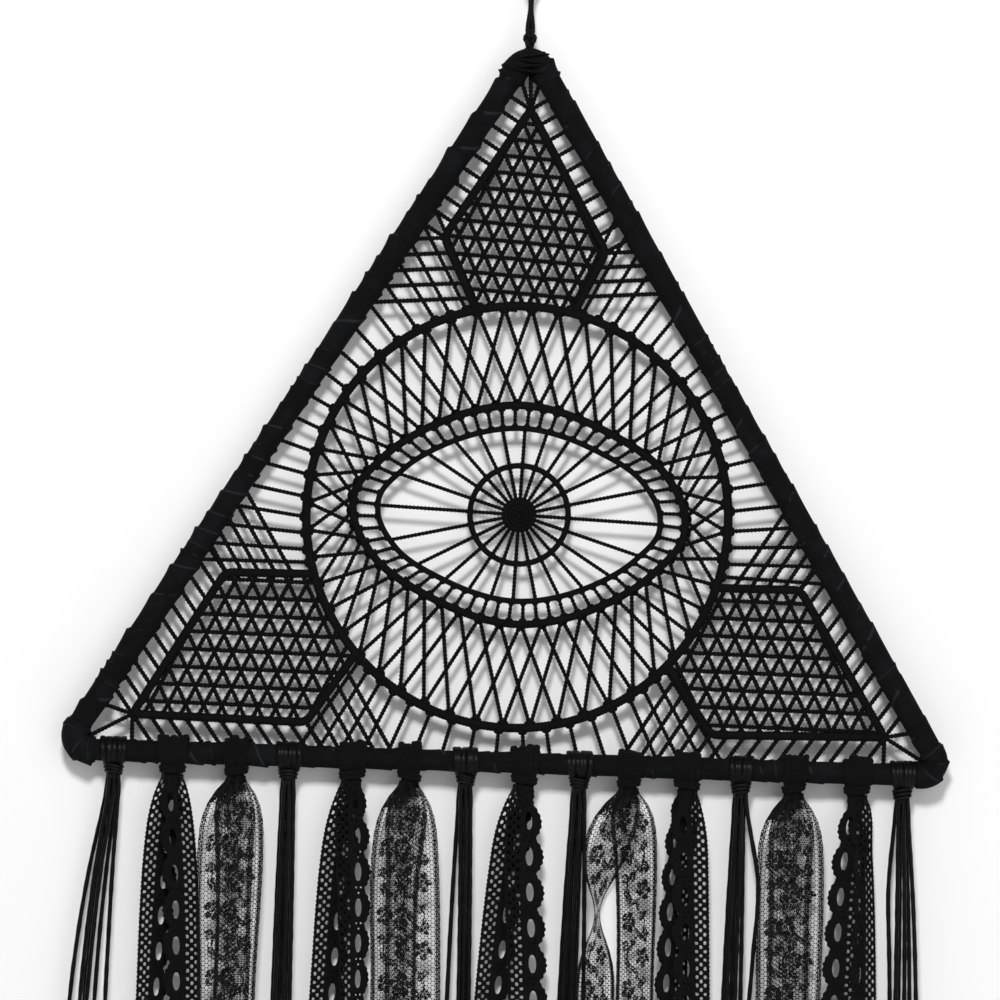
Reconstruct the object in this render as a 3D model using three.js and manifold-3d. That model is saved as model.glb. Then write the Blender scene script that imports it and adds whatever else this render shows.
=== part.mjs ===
// A wall-hung dream catcher: a velvet-wrapped triangle with a knotted "eye" web,
// a hanging loop at its apex and fifteen tassels tied along its bottom bar.
// Units are millimetres. +Z is up, the front faces -Y, and the origin is the point
// inside the top of the hanging loop where it rests on its nail.

import * as THREE from 'three';
import * as BufferGeometryUtils from 'three/addons/utils/BufferGeometryUtils.js';
import Module from 'manifold-3d';

const wasm = await Module();
wasm.setup();

// ---------- driving dimensions ----------

const HANG_TO_KNOT = 36; // nail point down to the centre of the hanging knot
const KNOT_TO_BAR = 289; // knot centre down to the axis of the bottom bar
const BAR_Z = -(HANG_TO_KNOT + KNOT_TO_BAR);

const HALF_BASE = 175.3; // frame centreline, half its bottom side, corners unrounded
const FRAME_HEIGHT = 285.8; // bar axis up to the unrounded apex of the centreline
const CORNER_BEND = 5.8; // bend radius of the wire's centreline
const BEND_STEPS = 5;

const WIRE_RADIUS = 1.6;
const SIDE_RADIUS = 4.8; // velvet wrap on the two slanted sides
const BAR_RADIUS = 4.45; // velvet wrap on the bottom bar
const CORNER_RADIUS = 5.3; // extra turns of velvet at the corners
const CORNER_REACH = 1.5; // how far a corner wrap runs past the bend
const APEX_REACH = 8;
const APEX_BORE = 3.9; // room inside the apex wrap for the cord tied round the wire

const GAP = 0.3; // clearance between pieces that touch
const CORD_DIAMETER = 1.7;
const KNOT_RADIUS = 2.8;

const WEB_DEPTH = 2.2; // thickness of the web, front to back
const THREAD = 1.4; // net thread
const HEAVY = 3.2; // cord of the ring, the outer lids and the panel borders
const LIGHT = 2.2; // cord of the inner lids and the iris ring

const WEB_CENTRE_Z = 98.3; // above the bar axis
const RING_RADIUS = 84.4;
const RING_STEPS = 60;
const LATTICE_NODES = 24;
const LATTICE_SKEW = 2; // how many places a lattice thread leans, ring to lids

const EYE_CENTRE_Z = 99.2;
const IRIS_RADIUS = 19.8;
const PUPIL_RADIUS = 6.8;
const IRIS_SPOKES = 16;
const ROUND_STEPS = 24; // sides of the pupil and the iris ring
const RAY_COUNT = 24;
const RUNG_COUNT = 28;
const INNER_LID_SCALE_X = 0.85;
const INNER_LID_SCALE_Z = 0.79;

const PANEL_PITCH = 17; // spacing of the panel net's threads
const PANEL_RUNG_PITCH = 7.6;

// Ties run straight out from the ring, at these angles either side of a frame side's normal.
const TIE_ANGLES = [4, 11.5, 19, 26.5, 33, 39, 45];

const KNOT_WALL = 2.3; // cord or trim wound round the bar
const KNOT_CLEARANCE = 0.35;
const COLLAR_DROP = 4.6;
const TAIL_LENGTH = 350;
const TAIL_VARIATION = 9;

// The tassels along the bar, left to right. "knot" is where each is tied, and "left" and
// "right" are the width its tails hang in.
const TASSELS = [
  { kind: 'cords', knot: -157.4, left: -171, right: -147 },
  { kind: 'crochet', knot: -133.8, left: -145, right: -121 },
  { kind: 'lace', knot: -108.2, left: -119.5, right: -98 },
  { kind: 'cords', knot: -87.4, left: -95, right: -77.5 },
  { kind: 'crochet', knot: -61.8, left: -75, right: -53 },
  { kind: 'lace', knot: -39, left: -51.5, right: -23 },
  { kind: 'cords', knot: -16.6, left: -21.5, right: -9 },
  { kind: 'crochet', knot: 7, left: -7.5, right: 21 },
  { kind: 'cords', knot: 28.9, left: 22.5, right: 35.5 },
  { kind: 'lace', knot: 48.9, left: 37, right: 61 },
  { kind: 'crochet', knot: 72.1, left: 62.5, right: 86 },
  { kind: 'cords', knot: 93.7, left: 87.8, right: 101.5 },
  { kind: 'lace', knot: 114.9, left: 103.5, right: 129.5 },
  { kind: 'crochet', knot: 140.1, left: 131, right: 151 },
  { kind: 'cords', knot: 158.4, left: 153, right: 172 },
];

const KIND_SIZES = {
  cords: { knotHalf: 4.2, neckHalf: 3.2, collarHalf: 3.6, depthHalf: 2.6 },
  crochet: { knotHalf: 5.2, neckHalf: 3.8, collarHalf: 4.6, depthHalf: 3.2 },
  lace: { knotHalf: 4.6, neckHalf: 3.4, collarHalf: 4.0, depthHalf: 2.8 },
};

// ---------- materials ----------

function finish(color, roughness, metalness = 0) {
  return new THREE.MeshStandardMaterial({ color, roughness, metalness });
}

const VELVET = finish(0x121214, 0.95);
const STEEL = finish(0x8a8c90, 0.35, 1);
const THREAD_FINISH = finish(0x1a1a1c, 0.85);
const HANGER_FINISH = finish(0x1c1b1d, 0.75);
const TASSEL_FINISHES = {
  cords: finish(0x25272b, 0.4),
  crochet: finish(0x17171a, 0.9),
  lace: finish(0x1b1b1e, 0.8),
};

// ---------- solids ----------

const model = new THREE.Group();

function signedVolume(geometry) {
  const position = geometry.attributes.position;
  const index = geometry.index;
  const a = new THREE.Vector3();
  const b = new THREE.Vector3();
  const c = new THREE.Vector3();
  let sum = 0;
  for (let i = 0; i < index.count; i += 3) {
    a.fromBufferAttribute(position, index.getX(i));
    b.fromBufferAttribute(position, index.getX(i + 1));
    c.fromBufferAttribute(position, index.getX(i + 2));
    sum += a.dot(b.cross(c));
  }
  return sum / 6;
}

// A closed three.js geometry as a manifold solid, with its faces turned outwards.
function toSolid(geometry) {
  const bare = geometry.clone();
  bare.deleteAttribute('normal');
  bare.deleteAttribute('uv');
  const merged = BufferGeometryUtils.mergeVertices(bare, 1e-4);
  const triangles = Uint32Array.from(merged.index.array);
  if (signedVolume(merged) < 0) {
    for (let i = 0; i < triangles.length; i += 3) {
      const second = triangles[i + 1];
      triangles[i + 1] = triangles[i + 2];
      triangles[i + 2] = second;
    }
  }
  return new wasm.Manifold(
    new wasm.Mesh({
      numProp: 3,
      vertProperties: Float32Array.from(merged.attributes.position.array),
      triVerts: triangles,
    }),
  );
}

function join(solids) {
  return solids.reduce((whole, next) => whole.add(next));
}

function cut(solid, tools) {
  return tools.reduce((rest, tool) => rest.subtract(tool), solid);
}

function toGeometry(solid) {
  const mesh = solid.getMesh();
  const geometry = new THREE.BufferGeometry();
  geometry.setAttribute('position', new THREE.BufferAttribute(mesh.vertProperties, 3));
  geometry.setIndex(new THREE.BufferAttribute(mesh.triVerts, 1));
  return geometry;
}

function addPiece(name, solid, material) {
  const mesh = new THREE.Mesh(toGeometry(solid), material);
  mesh.name = name;
  mesh.position.z = BAR_Z;
  model.add(mesh);
}

// Rings of equal point count skinned in order, capped at both ends or closed into a loop.
function skin(rings, closed) {
  const sides = rings[0].length;
  const points = rings.flat();
  const index = [];
  const spans = closed ? rings.length : rings.length - 1;
  for (let i = 0; i < spans; i++) {
    const here = i * sides;
    const next = ((i + 1) % rings.length) * sides;
    for (let j = 0; j < sides; j++) {
      const k = (j + 1) % sides;
      index.push(here + j, next + j, next + k, here + j, next + k, here + k);
    }
  }
  if (!closed) {
    const last = (rings.length - 1) * sides;
    for (let j = 1; j < sides - 1; j++) {
      index.push(0, j, j + 1, last, last + j + 1, last + j);
    }
  }
  const geometry = new THREE.BufferGeometry().setFromPoints(points);
  geometry.setIndex(index);
  return toSolid(geometry);
}

// A round bar along a path in the frame's plane, mitred at each point.
function roundBar(path, radius, sides, closed = false) {
  const count = path.length;
  const rings = path.map((point, i) => {
    const before = closed ? path[(i + count - 1) % count] : path[Math.max(i - 1, 0)];
    const after = closed ? path[(i + 1) % count] : path[Math.min(i + 1, count - 1)];
    const arrive = point.clone().sub(before).normalize();
    const leave = after.clone().sub(point).normalize();
    const tangent = arrive.clone().add(leave).normalize();
    const stretch = 1 / Math.max(tangent.dot(leave), tangent.dot(arrive));
    const ring = [];
    for (let j = 0; j < sides; j++) {
      const angle = (2 * Math.PI * j) / sides;
      const across = radius * Math.cos(angle) * stretch;
      ring.push(
        new THREE.Vector3(
          point.x - tangent.y * across,
          radius * Math.sin(angle),
          point.y + tangent.x * across,
        ),
      );
    }
    return ring;
  });
  return skin(rings, closed);
}

// A flat shape drawn in X and Z, thickened evenly about the frame's plane.
function plate(shape, depth) {
  const geometry = new THREE.ExtrudeGeometry(shape, { depth, bevelEnabled: false });
  geometry.rotateX(Math.PI / 2);
  geometry.translate(0, depth / 2, 0);
  return toSolid(geometry);
}

function polygon(points) {
  return plate(new THREE.Shape(points), WEB_DEPTH);
}

// A band of even width that follows a closed outline. "outline" gives the points moved
// outwards by a distance.
function band(outline, width) {
  const shape = new THREE.Shape(outline(width / 2));
  shape.holes.push(new THREE.Path(outline(-width / 2).reverse()));
  return plate(shape, WEB_DEPTH);
}

function thread(from, to, width = THREAD) {
  const side = to.clone().sub(from).normalize().multiplyScalar(width / 2);
  const across = new THREE.Vector2(-side.y, side.x);
  return polygon([
    from.clone().add(across),
    to.clone().add(across),
    to.clone().sub(across),
    from.clone().sub(across),
  ]);
}

function point(x, z) {
  return new THREE.Vector2(x, z);
}

function onCircle(radius, angle, centreZ) {
  return point(radius * Math.cos(angle), centreZ + radius * Math.sin(angle));
}

function circle(radius, centreZ, steps) {
  const points = [];
  for (let i = 0; i < steps; i++) {
    points.push(onCircle(radius, (2 * Math.PI * i) / steps, centreZ));
  }
  return points;
}

// ---------- the frame's outline ----------

const APEX = point(0, FRAME_HEIGHT);
const LEFT = point(-HALF_BASE, 0);
const RIGHT = point(HALF_BASE, 0);

// The rounded corner at "corner", walked from the side of "from" to the side of "to", with
// "reach" of straight wire at both ends.
function bend(from, corner, to, reach) {
  const toFrom = from.clone().sub(corner).normalize();
  const toNext = to.clone().sub(corner).normalize();
  const halfAngle = Math.acos(toFrom.dot(toNext)) / 2;
  const tangent = CORNER_BEND / Math.tan(halfAngle);
  const middle = toFrom.clone().add(toNext).normalize();
  const centre = corner.clone().addScaledVector(middle, CORNER_BEND / Math.sin(halfAngle));
  const start = corner.clone().addScaledVector(toFrom, tangent).sub(centre);
  const turn = Math.PI - 2 * halfAngle;
  const direction = Math.sign(toFrom.cross(toNext));
  const points = [corner.clone().addScaledVector(toFrom, tangent + reach)];
  for (let i = 0; i <= BEND_STEPS; i++) {
    const angle = (-direction * turn * i) / BEND_STEPS;
    points.push(start.clone().rotateAround(point(0, 0), angle).add(centre));
  }
  points.push(corner.clone().addScaledVector(toNext, tangent + reach));
  return points;
}

function straight(a, b, trimA, trimB) {
  const along = b.clone().sub(a).normalize();
  return [a.clone().addScaledVector(along, trimA), b.clone().addScaledVector(along, -trimB)];
}

// Distance from a corner to the end of its bend and reach, along either side.
function cornerTrim(from, corner, to, reach) {
  const ends = bend(from, corner, to, reach);
  return ends[0].distanceTo(corner) + GAP;
}

// ---------- frame pieces ----------

const wirePath = [
  ...bend(RIGHT, APEX, LEFT, 0).slice(1, -1),
  ...bend(APEX, LEFT, RIGHT, 0).slice(1, -1),
  ...bend(LEFT, RIGHT, APEX, 0).slice(1, -1),
];
addPiece('wire_triangle', roundBar(wirePath, WIRE_RADIUS, 10, true), STEEL);

function wrap(path, outer, bore, sides) {
  return roundBar(path, outer, sides).subtract(roundBar(stretchEnds(path), bore, 12));
}

// The same path run on a little at both ends, so that a bore cuts right through.
function stretchEnds(path) {
  const extra = 2;
  const first = path[0].clone().sub(path[1]).setLength(extra).add(path[0]);
  const last = path[path.length - 1].clone();
  const beyond = last.clone().sub(path[path.length - 2]).setLength(extra).add(last);
  return [first, ...path, beyond];
}

const WIRE_BORE = WIRE_RADIUS + GAP;
const bottomTrim = cornerTrim(APEX, LEFT, RIGHT, CORNER_REACH);
const apexTrim = cornerTrim(LEFT, APEX, RIGHT, APEX_REACH);

const leftSide = straight(LEFT, APEX, bottomTrim, apexTrim);
const rightSide = straight(APEX, RIGHT, apexTrim, bottomTrim);
const bottomSide = straight(LEFT, RIGHT, bottomTrim, bottomTrim);
addPiece('velvet_wrap_left', wrap(leftSide, SIDE_RADIUS, WIRE_BORE, 16), VELVET);
addPiece('velvet_wrap_right', wrap(rightSide, SIDE_RADIUS, WIRE_BORE, 16), VELVET);
addPiece('velvet_wrap_bottom', wrap(bottomSide, BAR_RADIUS, WIRE_BORE, 20), VELVET);

const leftCorner = bend(APEX, LEFT, RIGHT, CORNER_REACH);
const rightCorner = bend(LEFT, RIGHT, APEX, CORNER_REACH);
addPiece('corner_wrap_left', wrap(leftCorner, CORNER_RADIUS, WIRE_BORE, 14), VELVET);
addPiece('corner_wrap_right', wrap(rightCorner, CORNER_RADIUS, WIRE_BORE, 14), VELVET);

const apexPath = bend(RIGHT, APEX, LEFT, APEX_REACH);
const apexTop = Math.max(...apexPath.map((p) => p.y));
const tieHole = new THREE.CylinderGeometry(
  CORD_DIAMETER / 2 + GAP,
  CORD_DIAMETER / 2 + GAP,
  2 * CORNER_RADIUS,
  10,
);
tieHole.rotateX(Math.PI / 2).translate(0, 0, apexTop + CORNER_RADIUS);
const apexWrap = wrap(apexPath, CORNER_RADIUS, APEX_BORE, 14).subtract(toSolid(tieHole));
addPiece('apex_wrap', apexWrap, VELVET);

// ---------- hanger ----------

// The cord's end, tied round the wire inside the apex wrap and leading up to the knot.
function hangerTie() {
  const ringRadius = WIRE_BORE + CORD_DIAMETER / 2;
  const ring = new THREE.TorusGeometry(ringRadius, CORD_DIAMETER / 2, 8, 14);
  ring.rotateY(Math.PI / 2).translate(0, 0, apexTop);
  const foot = apexTop + ringRadius;
  const head = KNOT_TO_BAR - KNOT_RADIUS - GAP - 0.1;
  const stem = new THREE.CylinderGeometry(CORD_DIAMETER / 2, CORD_DIAMETER / 2, head - foot, 10);
  stem.rotateX(Math.PI / 2).translate(0, 0, (head + foot) / 2);
  return toSolid(ring).add(toSolid(stem));
}
addPiece('hanger_tie', hangerTie(), HANGER_FINISH);

const knot = new THREE.SphereGeometry(KNOT_RADIUS, 14, 10);
knot.translate(0, 0, KNOT_TO_BAR);
addPiece('hanger_knot', toSolid(knot), HANGER_FINISH);

// Half of the hanging loop, from the knot to the top of its bend, as offsets from the knot's
// centre. The two strands leave the knot side by side, lie one behind the other, then part
// round the nail.
const LOOP_HALF = [
  [-0.98, 0.0, 3.3],
  [-0.95, -0.2, 5.5],
  [-0.6, -0.75, 8.5],
  [-0.15, -0.98, 12.0],
  [-0.15, -1.0, 15.5],
  [-0.7, -0.85, 19.0],
  [-1.9, -0.55, 22.5],
  [-3.2, -0.25, 26.0],
  [-3.95, -0.05, 29.5],
  [-3.9, 0.0, 32.5],
  [-2.9, 0.0, 35.2],
  [-1.3, 0.0, 36.6],
];

function hangerLoop() {
  const rise = LOOP_HALF.map(([x, y, z]) => new THREE.Vector3(x, y, KNOT_TO_BAR + z));
  const crown = new THREE.Vector3(0, 0, KNOT_TO_BAR + HANG_TO_KNOT + CORD_DIAMETER / 2);
  const fall = [...LOOP_HALF]
    .reverse()
    .map(([x, y, z]) => new THREE.Vector3(-x, -y, KNOT_TO_BAR + z));
  const route = new THREE.CatmullRomCurve3([...rise, crown, ...fall], false, 'centripetal');
  const section = new THREE.Shape();
  const sides = 8;
  for (let j = 0; j < sides; j++) {
    const angle = (2 * Math.PI * j) / sides;
    const x = (CORD_DIAMETER / 2) * Math.cos(angle);
    const y = (CORD_DIAMETER / 2) * Math.sin(angle);
    if (j === 0) section.moveTo(x, y);
    else section.lineTo(x, y);
  }
  section.closePath();
  return toSolid(new THREE.ExtrudeGeometry(section, { steps: 22, extrudePath: route }));
}
addPiece('hanger_loop', hangerLoop(), HANGER_FINISH);

// ---------- the eye ----------

// The upper lid from its left tip to its right tip, about the eye's centre. The lower lid is
// the same curve turned half round.
const LID = [
  [-66.2, 6.2],
  [-55.6, 20.8],
  [-34.5, 35.2],
  [0, 43.8],
  [34.8, 33.9],
  [58.7, 17.1],
  [66.4, 1.2],
];
const LID_STEPS = 22;

function lidOutline(scaleX, scaleZ, offset) {
  const upper = LID.map(([x, z]) => new THREE.Vector3(x * scaleX, z * scaleZ, 0));
  const lower = upper.map((p) => new THREE.Vector3(-p.x, -p.y, 0));
  const loop = new THREE.CatmullRomCurve3([...upper, ...lower], true, 'centripetal');
  const points = [];
  for (let i = 0; i < 2 * LID_STEPS; i++) {
    const u = i / (2 * LID_STEPS);
    const at = loop.getPointAt(u);
    const along = loop.getTangentAt(u);
    points.push(point(at.x - along.y * offset, EYE_CENTRE_Z + at.y + along.x * offset));
  }
  return points;
}

const outerLid = (offset) => lidOutline(1, 1, offset);
const innerLid = (offset) => lidOutline(INNER_LID_SCALE_X, INNER_LID_SCALE_Z, offset);

// The point of an outline in a given direction from the eye's centre.
function towards(outline, angle) {
  const points = outline(0);
  const centre = point(0, EYE_CENTRE_Z);
  const heading = onCircle(1, angle, 0);
  let best = points[0];
  let bestDot = -Infinity;
  for (let i = 0; i < points.length; i++) {
    for (let s = 0; s < 4; s++) {
      const p = points[i].clone().lerp(points[(i + 1) % points.length], s / 4);
      const dot = p.clone().sub(centre).normalize().dot(heading);
      if (dot > bestDot) {
        bestDot = dot;
        best = p;
      }
    }
  }
  return best;
}

function irisWheel() {
  const rim = (offset) => circle(IRIS_RADIUS + offset, EYE_CENTRE_Z, ROUND_STEPS);
  const pieces = [band(rim, LIGHT), polygon(circle(PUPIL_RADIUS, EYE_CENTRE_Z, ROUND_STEPS))];
  const centre = point(0, EYE_CENTRE_Z);
  for (let i = 0; i < IRIS_SPOKES; i++) {
    const angle = (2 * Math.PI * i) / IRIS_SPOKES;
    pieces.push(thread(centre, onCircle(IRIS_RADIUS, angle, EYE_CENTRE_Z)));
  }
  return join(pieces);
}
addPiece('iris_and_pupil', irisWheel(), THREAD_FINISH);

function innerLids() {
  const pieces = [band(innerLid, LIGHT)];
  for (let i = 0; i < RAY_COUNT; i++) {
    const angle = (2 * Math.PI * i) / RAY_COUNT;
    const foot = onCircle(IRIS_RADIUS, angle, EYE_CENTRE_Z);
    pieces.push(thread(foot, towards(innerLid, angle)));
  }
  const iris = polygon(circle(IRIS_RADIUS + LIGHT / 2 + GAP, EYE_CENTRE_Z, ROUND_STEPS));
  return cut(join(pieces), [deepen(iris)]);
}

// A clearance solid reaches well past both faces of what it cuts.
function deepen(solid) {
  return solid.scale([1, 4, 1]);
}
addPiece('inner_lids', innerLids(), THREAD_FINISH);

function outerLids() {
  const outside = outerLid(0);
  const inside = innerLid(0);
  const pieces = [band(outerLid, HEAVY)];
  for (let i = 0; i < RUNG_COUNT; i++) {
    const at = Math.round((outside.length * (i + 0.5)) / RUNG_COUNT) % outside.length;
    pieces.push(thread(outside[at], inside[at]));
  }
  return cut(join(pieces), [deepen(polygon(innerLid(LIGHT / 2 + GAP)))]);
}
addPiece('outer_lids', outerLids(), THREAD_FINISH);

// ---------- clearances round the frame and the tassel knots ----------

const sideClearance = [leftSide, rightSide].map((path) =>
  roundBar(stretchEnds(path), SIDE_RADIUS + GAP, 16),
);
const barClearance = roundBar(bottomSide, BAR_RADIUS + GAP, 20);
const cornerClearance = [leftCorner, rightCorner, apexPath].map((path) =>
  roundBar(path, CORNER_RADIUS + GAP, 14),
);
const knotRadius = BAR_RADIUS + KNOT_CLEARANCE + KNOT_WALL;
const knotClearance = TASSELS.map(({ kind, knot: x }) => {
  const half = KIND_SIZES[kind].knotHalf + 2 * GAP;
  return roundBar([point(x - half, 0), point(x + half, 0)], knotRadius + 2 * GAP, 16);
});
const frameClearance = [...sideClearance, barClearance, ...cornerClearance];

// ---------- corner panel outlines ----------

// Each panel is a net bordered by a heavy cord, with its inner edge along the ring.
// "outline" lists its corners from its tip, one way round, to the ring and back.
const TOP_PANEL = [
  [0, 261],
  [31.4, 208.6],
  [20.5, 183.6],
  [-20.5, 183.6],
  [-31.4, 208.6],
];
const LOW_PANEL = [
  [150.5, 14.8],
  [86, 13.4],
  [70.5, 39.5],
  [85.5, 71.2],
  [115, 72.6],
];

function panelOutline(list, offset) {
  const centre = list.reduce((sum, p) => sum.add(p), point(0, 0)).divideScalar(list.length);
  return list.map((corner, i) => {
    const before = list[(i + list.length - 1) % list.length];
    const after = list[(i + 1) % list.length];
    const outA = outwardNormal(before, corner, centre);
    const outB = outwardNormal(corner, after, centre);
    const mitre = outA.clone().add(outB).normalize();
    return corner.clone().addScaledVector(mitre, offset / mitre.dot(outA));
  });
}

function outwardNormal(a, b, centre) {
  const along = b.clone().sub(a).normalize();
  const normal = point(along.y, -along.x);
  return normal.dot(a.clone().sub(centre)) < 0 ? normal.negate() : normal;
}

function corners(list, mirror = 1) {
  return list.map(([x, z]) => point(mirror * x, z));
}

const PANELS = {
  panel_top: corners(TOP_PANEL),
  panel_left: corners(LOW_PANEL, -1),
  panel_right: corners(LOW_PANEL),
};
const panelClearance = Object.values(PANELS).map((list) =>
  deepen(polygon(panelOutline(list, HEAVY / 2 + GAP))),
);

// ---------- ring, lattice and ties ----------

const SIDES = [
  { a: LEFT, b: APEX },
  { a: APEX, b: RIGHT },
  { a: RIGHT, b: LEFT },
].map(({ a, b }) => {
  const along = b.clone().sub(a).normalize();
  return { a, b, along, inward: point(along.y, -along.x) };
});

// Threads that run straight out from the ring to each side of the frame, between the panels.
function frameTies() {
  const ties = [];
  const reach = 60;
  for (const { inward } of SIDES) {
    const outward = Math.atan2(-inward.y, -inward.x);
    for (const degrees of TIE_ANGLES.flatMap((a) => [-a, a])) {
      const angle = outward + THREE.MathUtils.degToRad(degrees);
      const foot = onCircle(RING_RADIUS, angle, WEB_CENTRE_Z);
      ties.push(thread(foot, onCircle(RING_RADIUS + reach, angle, WEB_CENTRE_Z)));
    }
  }
  return ties;
}

// The main body of a solid, without the stray ends a cut leaves behind.
function largest(solid) {
  return solid.decompose().sort((a, b) => b.volume() - a.volume())[0];
}

// Everything inside the middle line of the frame.
const insideFrame = deepen(polygon([LEFT, RIGHT, APEX]));

function ringAndLattice() {
  const rim = (offset) => circle(RING_RADIUS + offset, WEB_CENTRE_Z, RING_STEPS);
  const lids = outerLid(0);
  const pieces = [band(rim, HEAVY)];
  for (let i = 0; i < LATTICE_NODES; i++) {
    const angle = (2 * Math.PI * (i + 0.5)) / LATTICE_NODES;
    for (const lean of [-LATTICE_SKEW, LATTICE_SKEW]) {
      const target = towards(outerLid, angle + (Math.PI * lean) / LATTICE_NODES);
      pieces.push(thread(onCircle(RING_RADIUS, angle, WEB_CENTRE_Z), target));
    }
  }
  const inside = cut(join(pieces), [deepen(polygon(outerLid(HEAVY / 2 + GAP)))]);
  const clear = [...frameClearance, ...knotClearance, ...panelClearance];
  const ties = cut(join(frameTies()).intersect(insideFrame), clear);
  return largest(inside.add(ties));
}
addPiece('ring_and_lattice', ringAndLattice(), THREAD_FINISH);

// ---------- corner panels ----------

function panelThreads(list) {
  const centre = list.reduce((sum, p) => sum.add(p), point(0, 0)).divideScalar(list.length);
  const reach = 70;
  const threads = [];
  for (const { along, inward } of SIDES) {
    for (let row = -5; row <= 5; row++) {
      const middle = centre.clone().addScaledVector(inward, row * PANEL_PITCH);
      const from = middle.clone().addScaledVector(along, -reach);
      threads.push(thread(from, middle.clone().addScaledVector(along, reach)));
    }
  }
  return threads;
}

// Short threads from the panel's two outer edges across to the frame.
function panelRungs(list) {
  const rungs = [];
  for (const side of SIDES) {
    const near = list.filter((p) => p.clone().sub(side.a).dot(side.inward) < 20);
    if (near.length < 2) continue;
    const stations = near.map((p) => p.clone().sub(side.a).dot(side.along));
    const last = Math.max(...stations);
    for (let t = Math.min(...stations); t <= last; t += PANEL_RUNG_PITCH) {
      const onFrame = side.a.clone().addScaledVector(side.along, t);
      rungs.push(thread(onFrame, onFrame.clone().addScaledVector(side.inward, 15.5)));
    }
  }
  return rungs;
}

function cornerPanel(list) {
  const outline = (offset) => panelOutline(list, offset);
  const field = deepen(polygon(outline(0)));
  const net = join(panelThreads(list)).intersect(field);
  const border = band(outline, HEAVY);
  const rungs = join(panelRungs(list));
  const ring = deepen(polygon(circle(RING_RADIUS + HEAVY / 2 + GAP, WEB_CENTRE_Z, RING_STEPS)));
  return cut(join([net, border, rungs]), [ring, ...frameClearance, ...knotClearance]);
}

for (const [name, list] of Object.entries(PANELS)) {
  addPiece(name, cornerPanel(list), THREAD_FINISH);
}

// ---------- tassels ----------

// A soft form hanging down: each station is its height, middle, half width and half depth.
function hangingForm(stations) {
  const sides = 8;
  const rings = stations.map(({ z, x, half, depth }) => {
    const ring = [];
    for (let j = 0; j < sides; j++) {
      const angle = (2 * Math.PI * (j + 0.5)) / sides;
      const across = Math.cos(angle) / Math.cos(Math.PI / sides);
      const through = Math.sin(angle) / Math.cos(Math.PI / sides);
      ring.push(new THREE.Vector3(x + half * across, depth * through, z));
    }
    return ring;
  });
  return skin(rings, false);
}

// The folded middle of the cords or trim: a turn round the bar and the collar below it.
function tasselKnot(x, sizes) {
  const bore = BAR_RADIUS + KNOT_CLEARANCE;
  const half = sizes.knotHalf;
  const profile = [
    [bore, -half],
    [knotRadius, 0.8 - half],
    [knotRadius, half - 0.8],
    [bore, half],
    [bore, -half],
  ].map(([r, h]) => new THREE.Vector2(r, h));
  const turn = new THREE.LatheGeometry(profile, 12);
  turn.rotateZ(Math.PI / 2).translate(x, 0, 0);
  const top = -(bore + KNOT_WALL / 3);
  const collar = hangingForm([
    { z: top, x, half: sizes.neckHalf, depth: sizes.depthHalf },
    { z: -knotRadius - COLLAR_DROP / 2, x, half: sizes.collarHalf, depth: sizes.depthHalf + 0.4 },
    { z: -knotRadius - COLLAR_DROP, x, half: sizes.neckHalf, depth: sizes.depthHalf - 0.3 },
  ]);
  return toSolid(turn).add(collar);
}

function tails(entry, sizes, order) {
  const top = -knotRadius - COLLAR_DROP - GAP;
  const end = top - TAIL_LENGTH - TAIL_VARIATION * Math.cos(2.4 * order);
  const middle = (entry.left + entry.right) / 2;
  const half = (entry.right - entry.left) / 2;
  const blend = (t) => entry.knot + (middle - entry.knot) * t;
  return hangingForm([
    { z: top, x: entry.knot, half: sizes.neckHalf - 0.4, depth: sizes.depthHalf - 0.4 },
    { z: top - 14, x: blend(0.25), half: half * 0.55, depth: sizes.depthHalf },
    { z: top - 45, x: blend(0.7), half: half * 0.85, depth: sizes.depthHalf },
    { z: top - 90, x: middle, half, depth: sizes.depthHalf },
    { z: end, x: middle, half, depth: sizes.depthHalf },
  ]);
}

const counts = {};
TASSELS.forEach((entry, order) => {
  counts[entry.kind] = (counts[entry.kind] ?? 0) + 1;
  const name = `${entry.kind}_${counts[entry.kind]}`;
  const sizes = KIND_SIZES[entry.kind];
  const material = TASSEL_FINISHES[entry.kind];
  addPiece(`${name}_knot`, tasselKnot(entry.knot, sizes), material);
  addPiece(`${name}_tails`, tails(entry, sizes, order), material);
});

export default model;
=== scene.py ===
"""Looks of a wall-hung dream catcher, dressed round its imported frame.

Shapes are worked out in millimetres and become metres when a mesh is made. +Z is up and
the front faces -Y. Flat work, such as the web, is drawn in X and in height above the axis
of the bottom bar.
"""

import logging
from dataclasses import dataclass, field
from enum import Enum

import bpy
import numpy as np
from mathutils import Matrix, Vector


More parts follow.
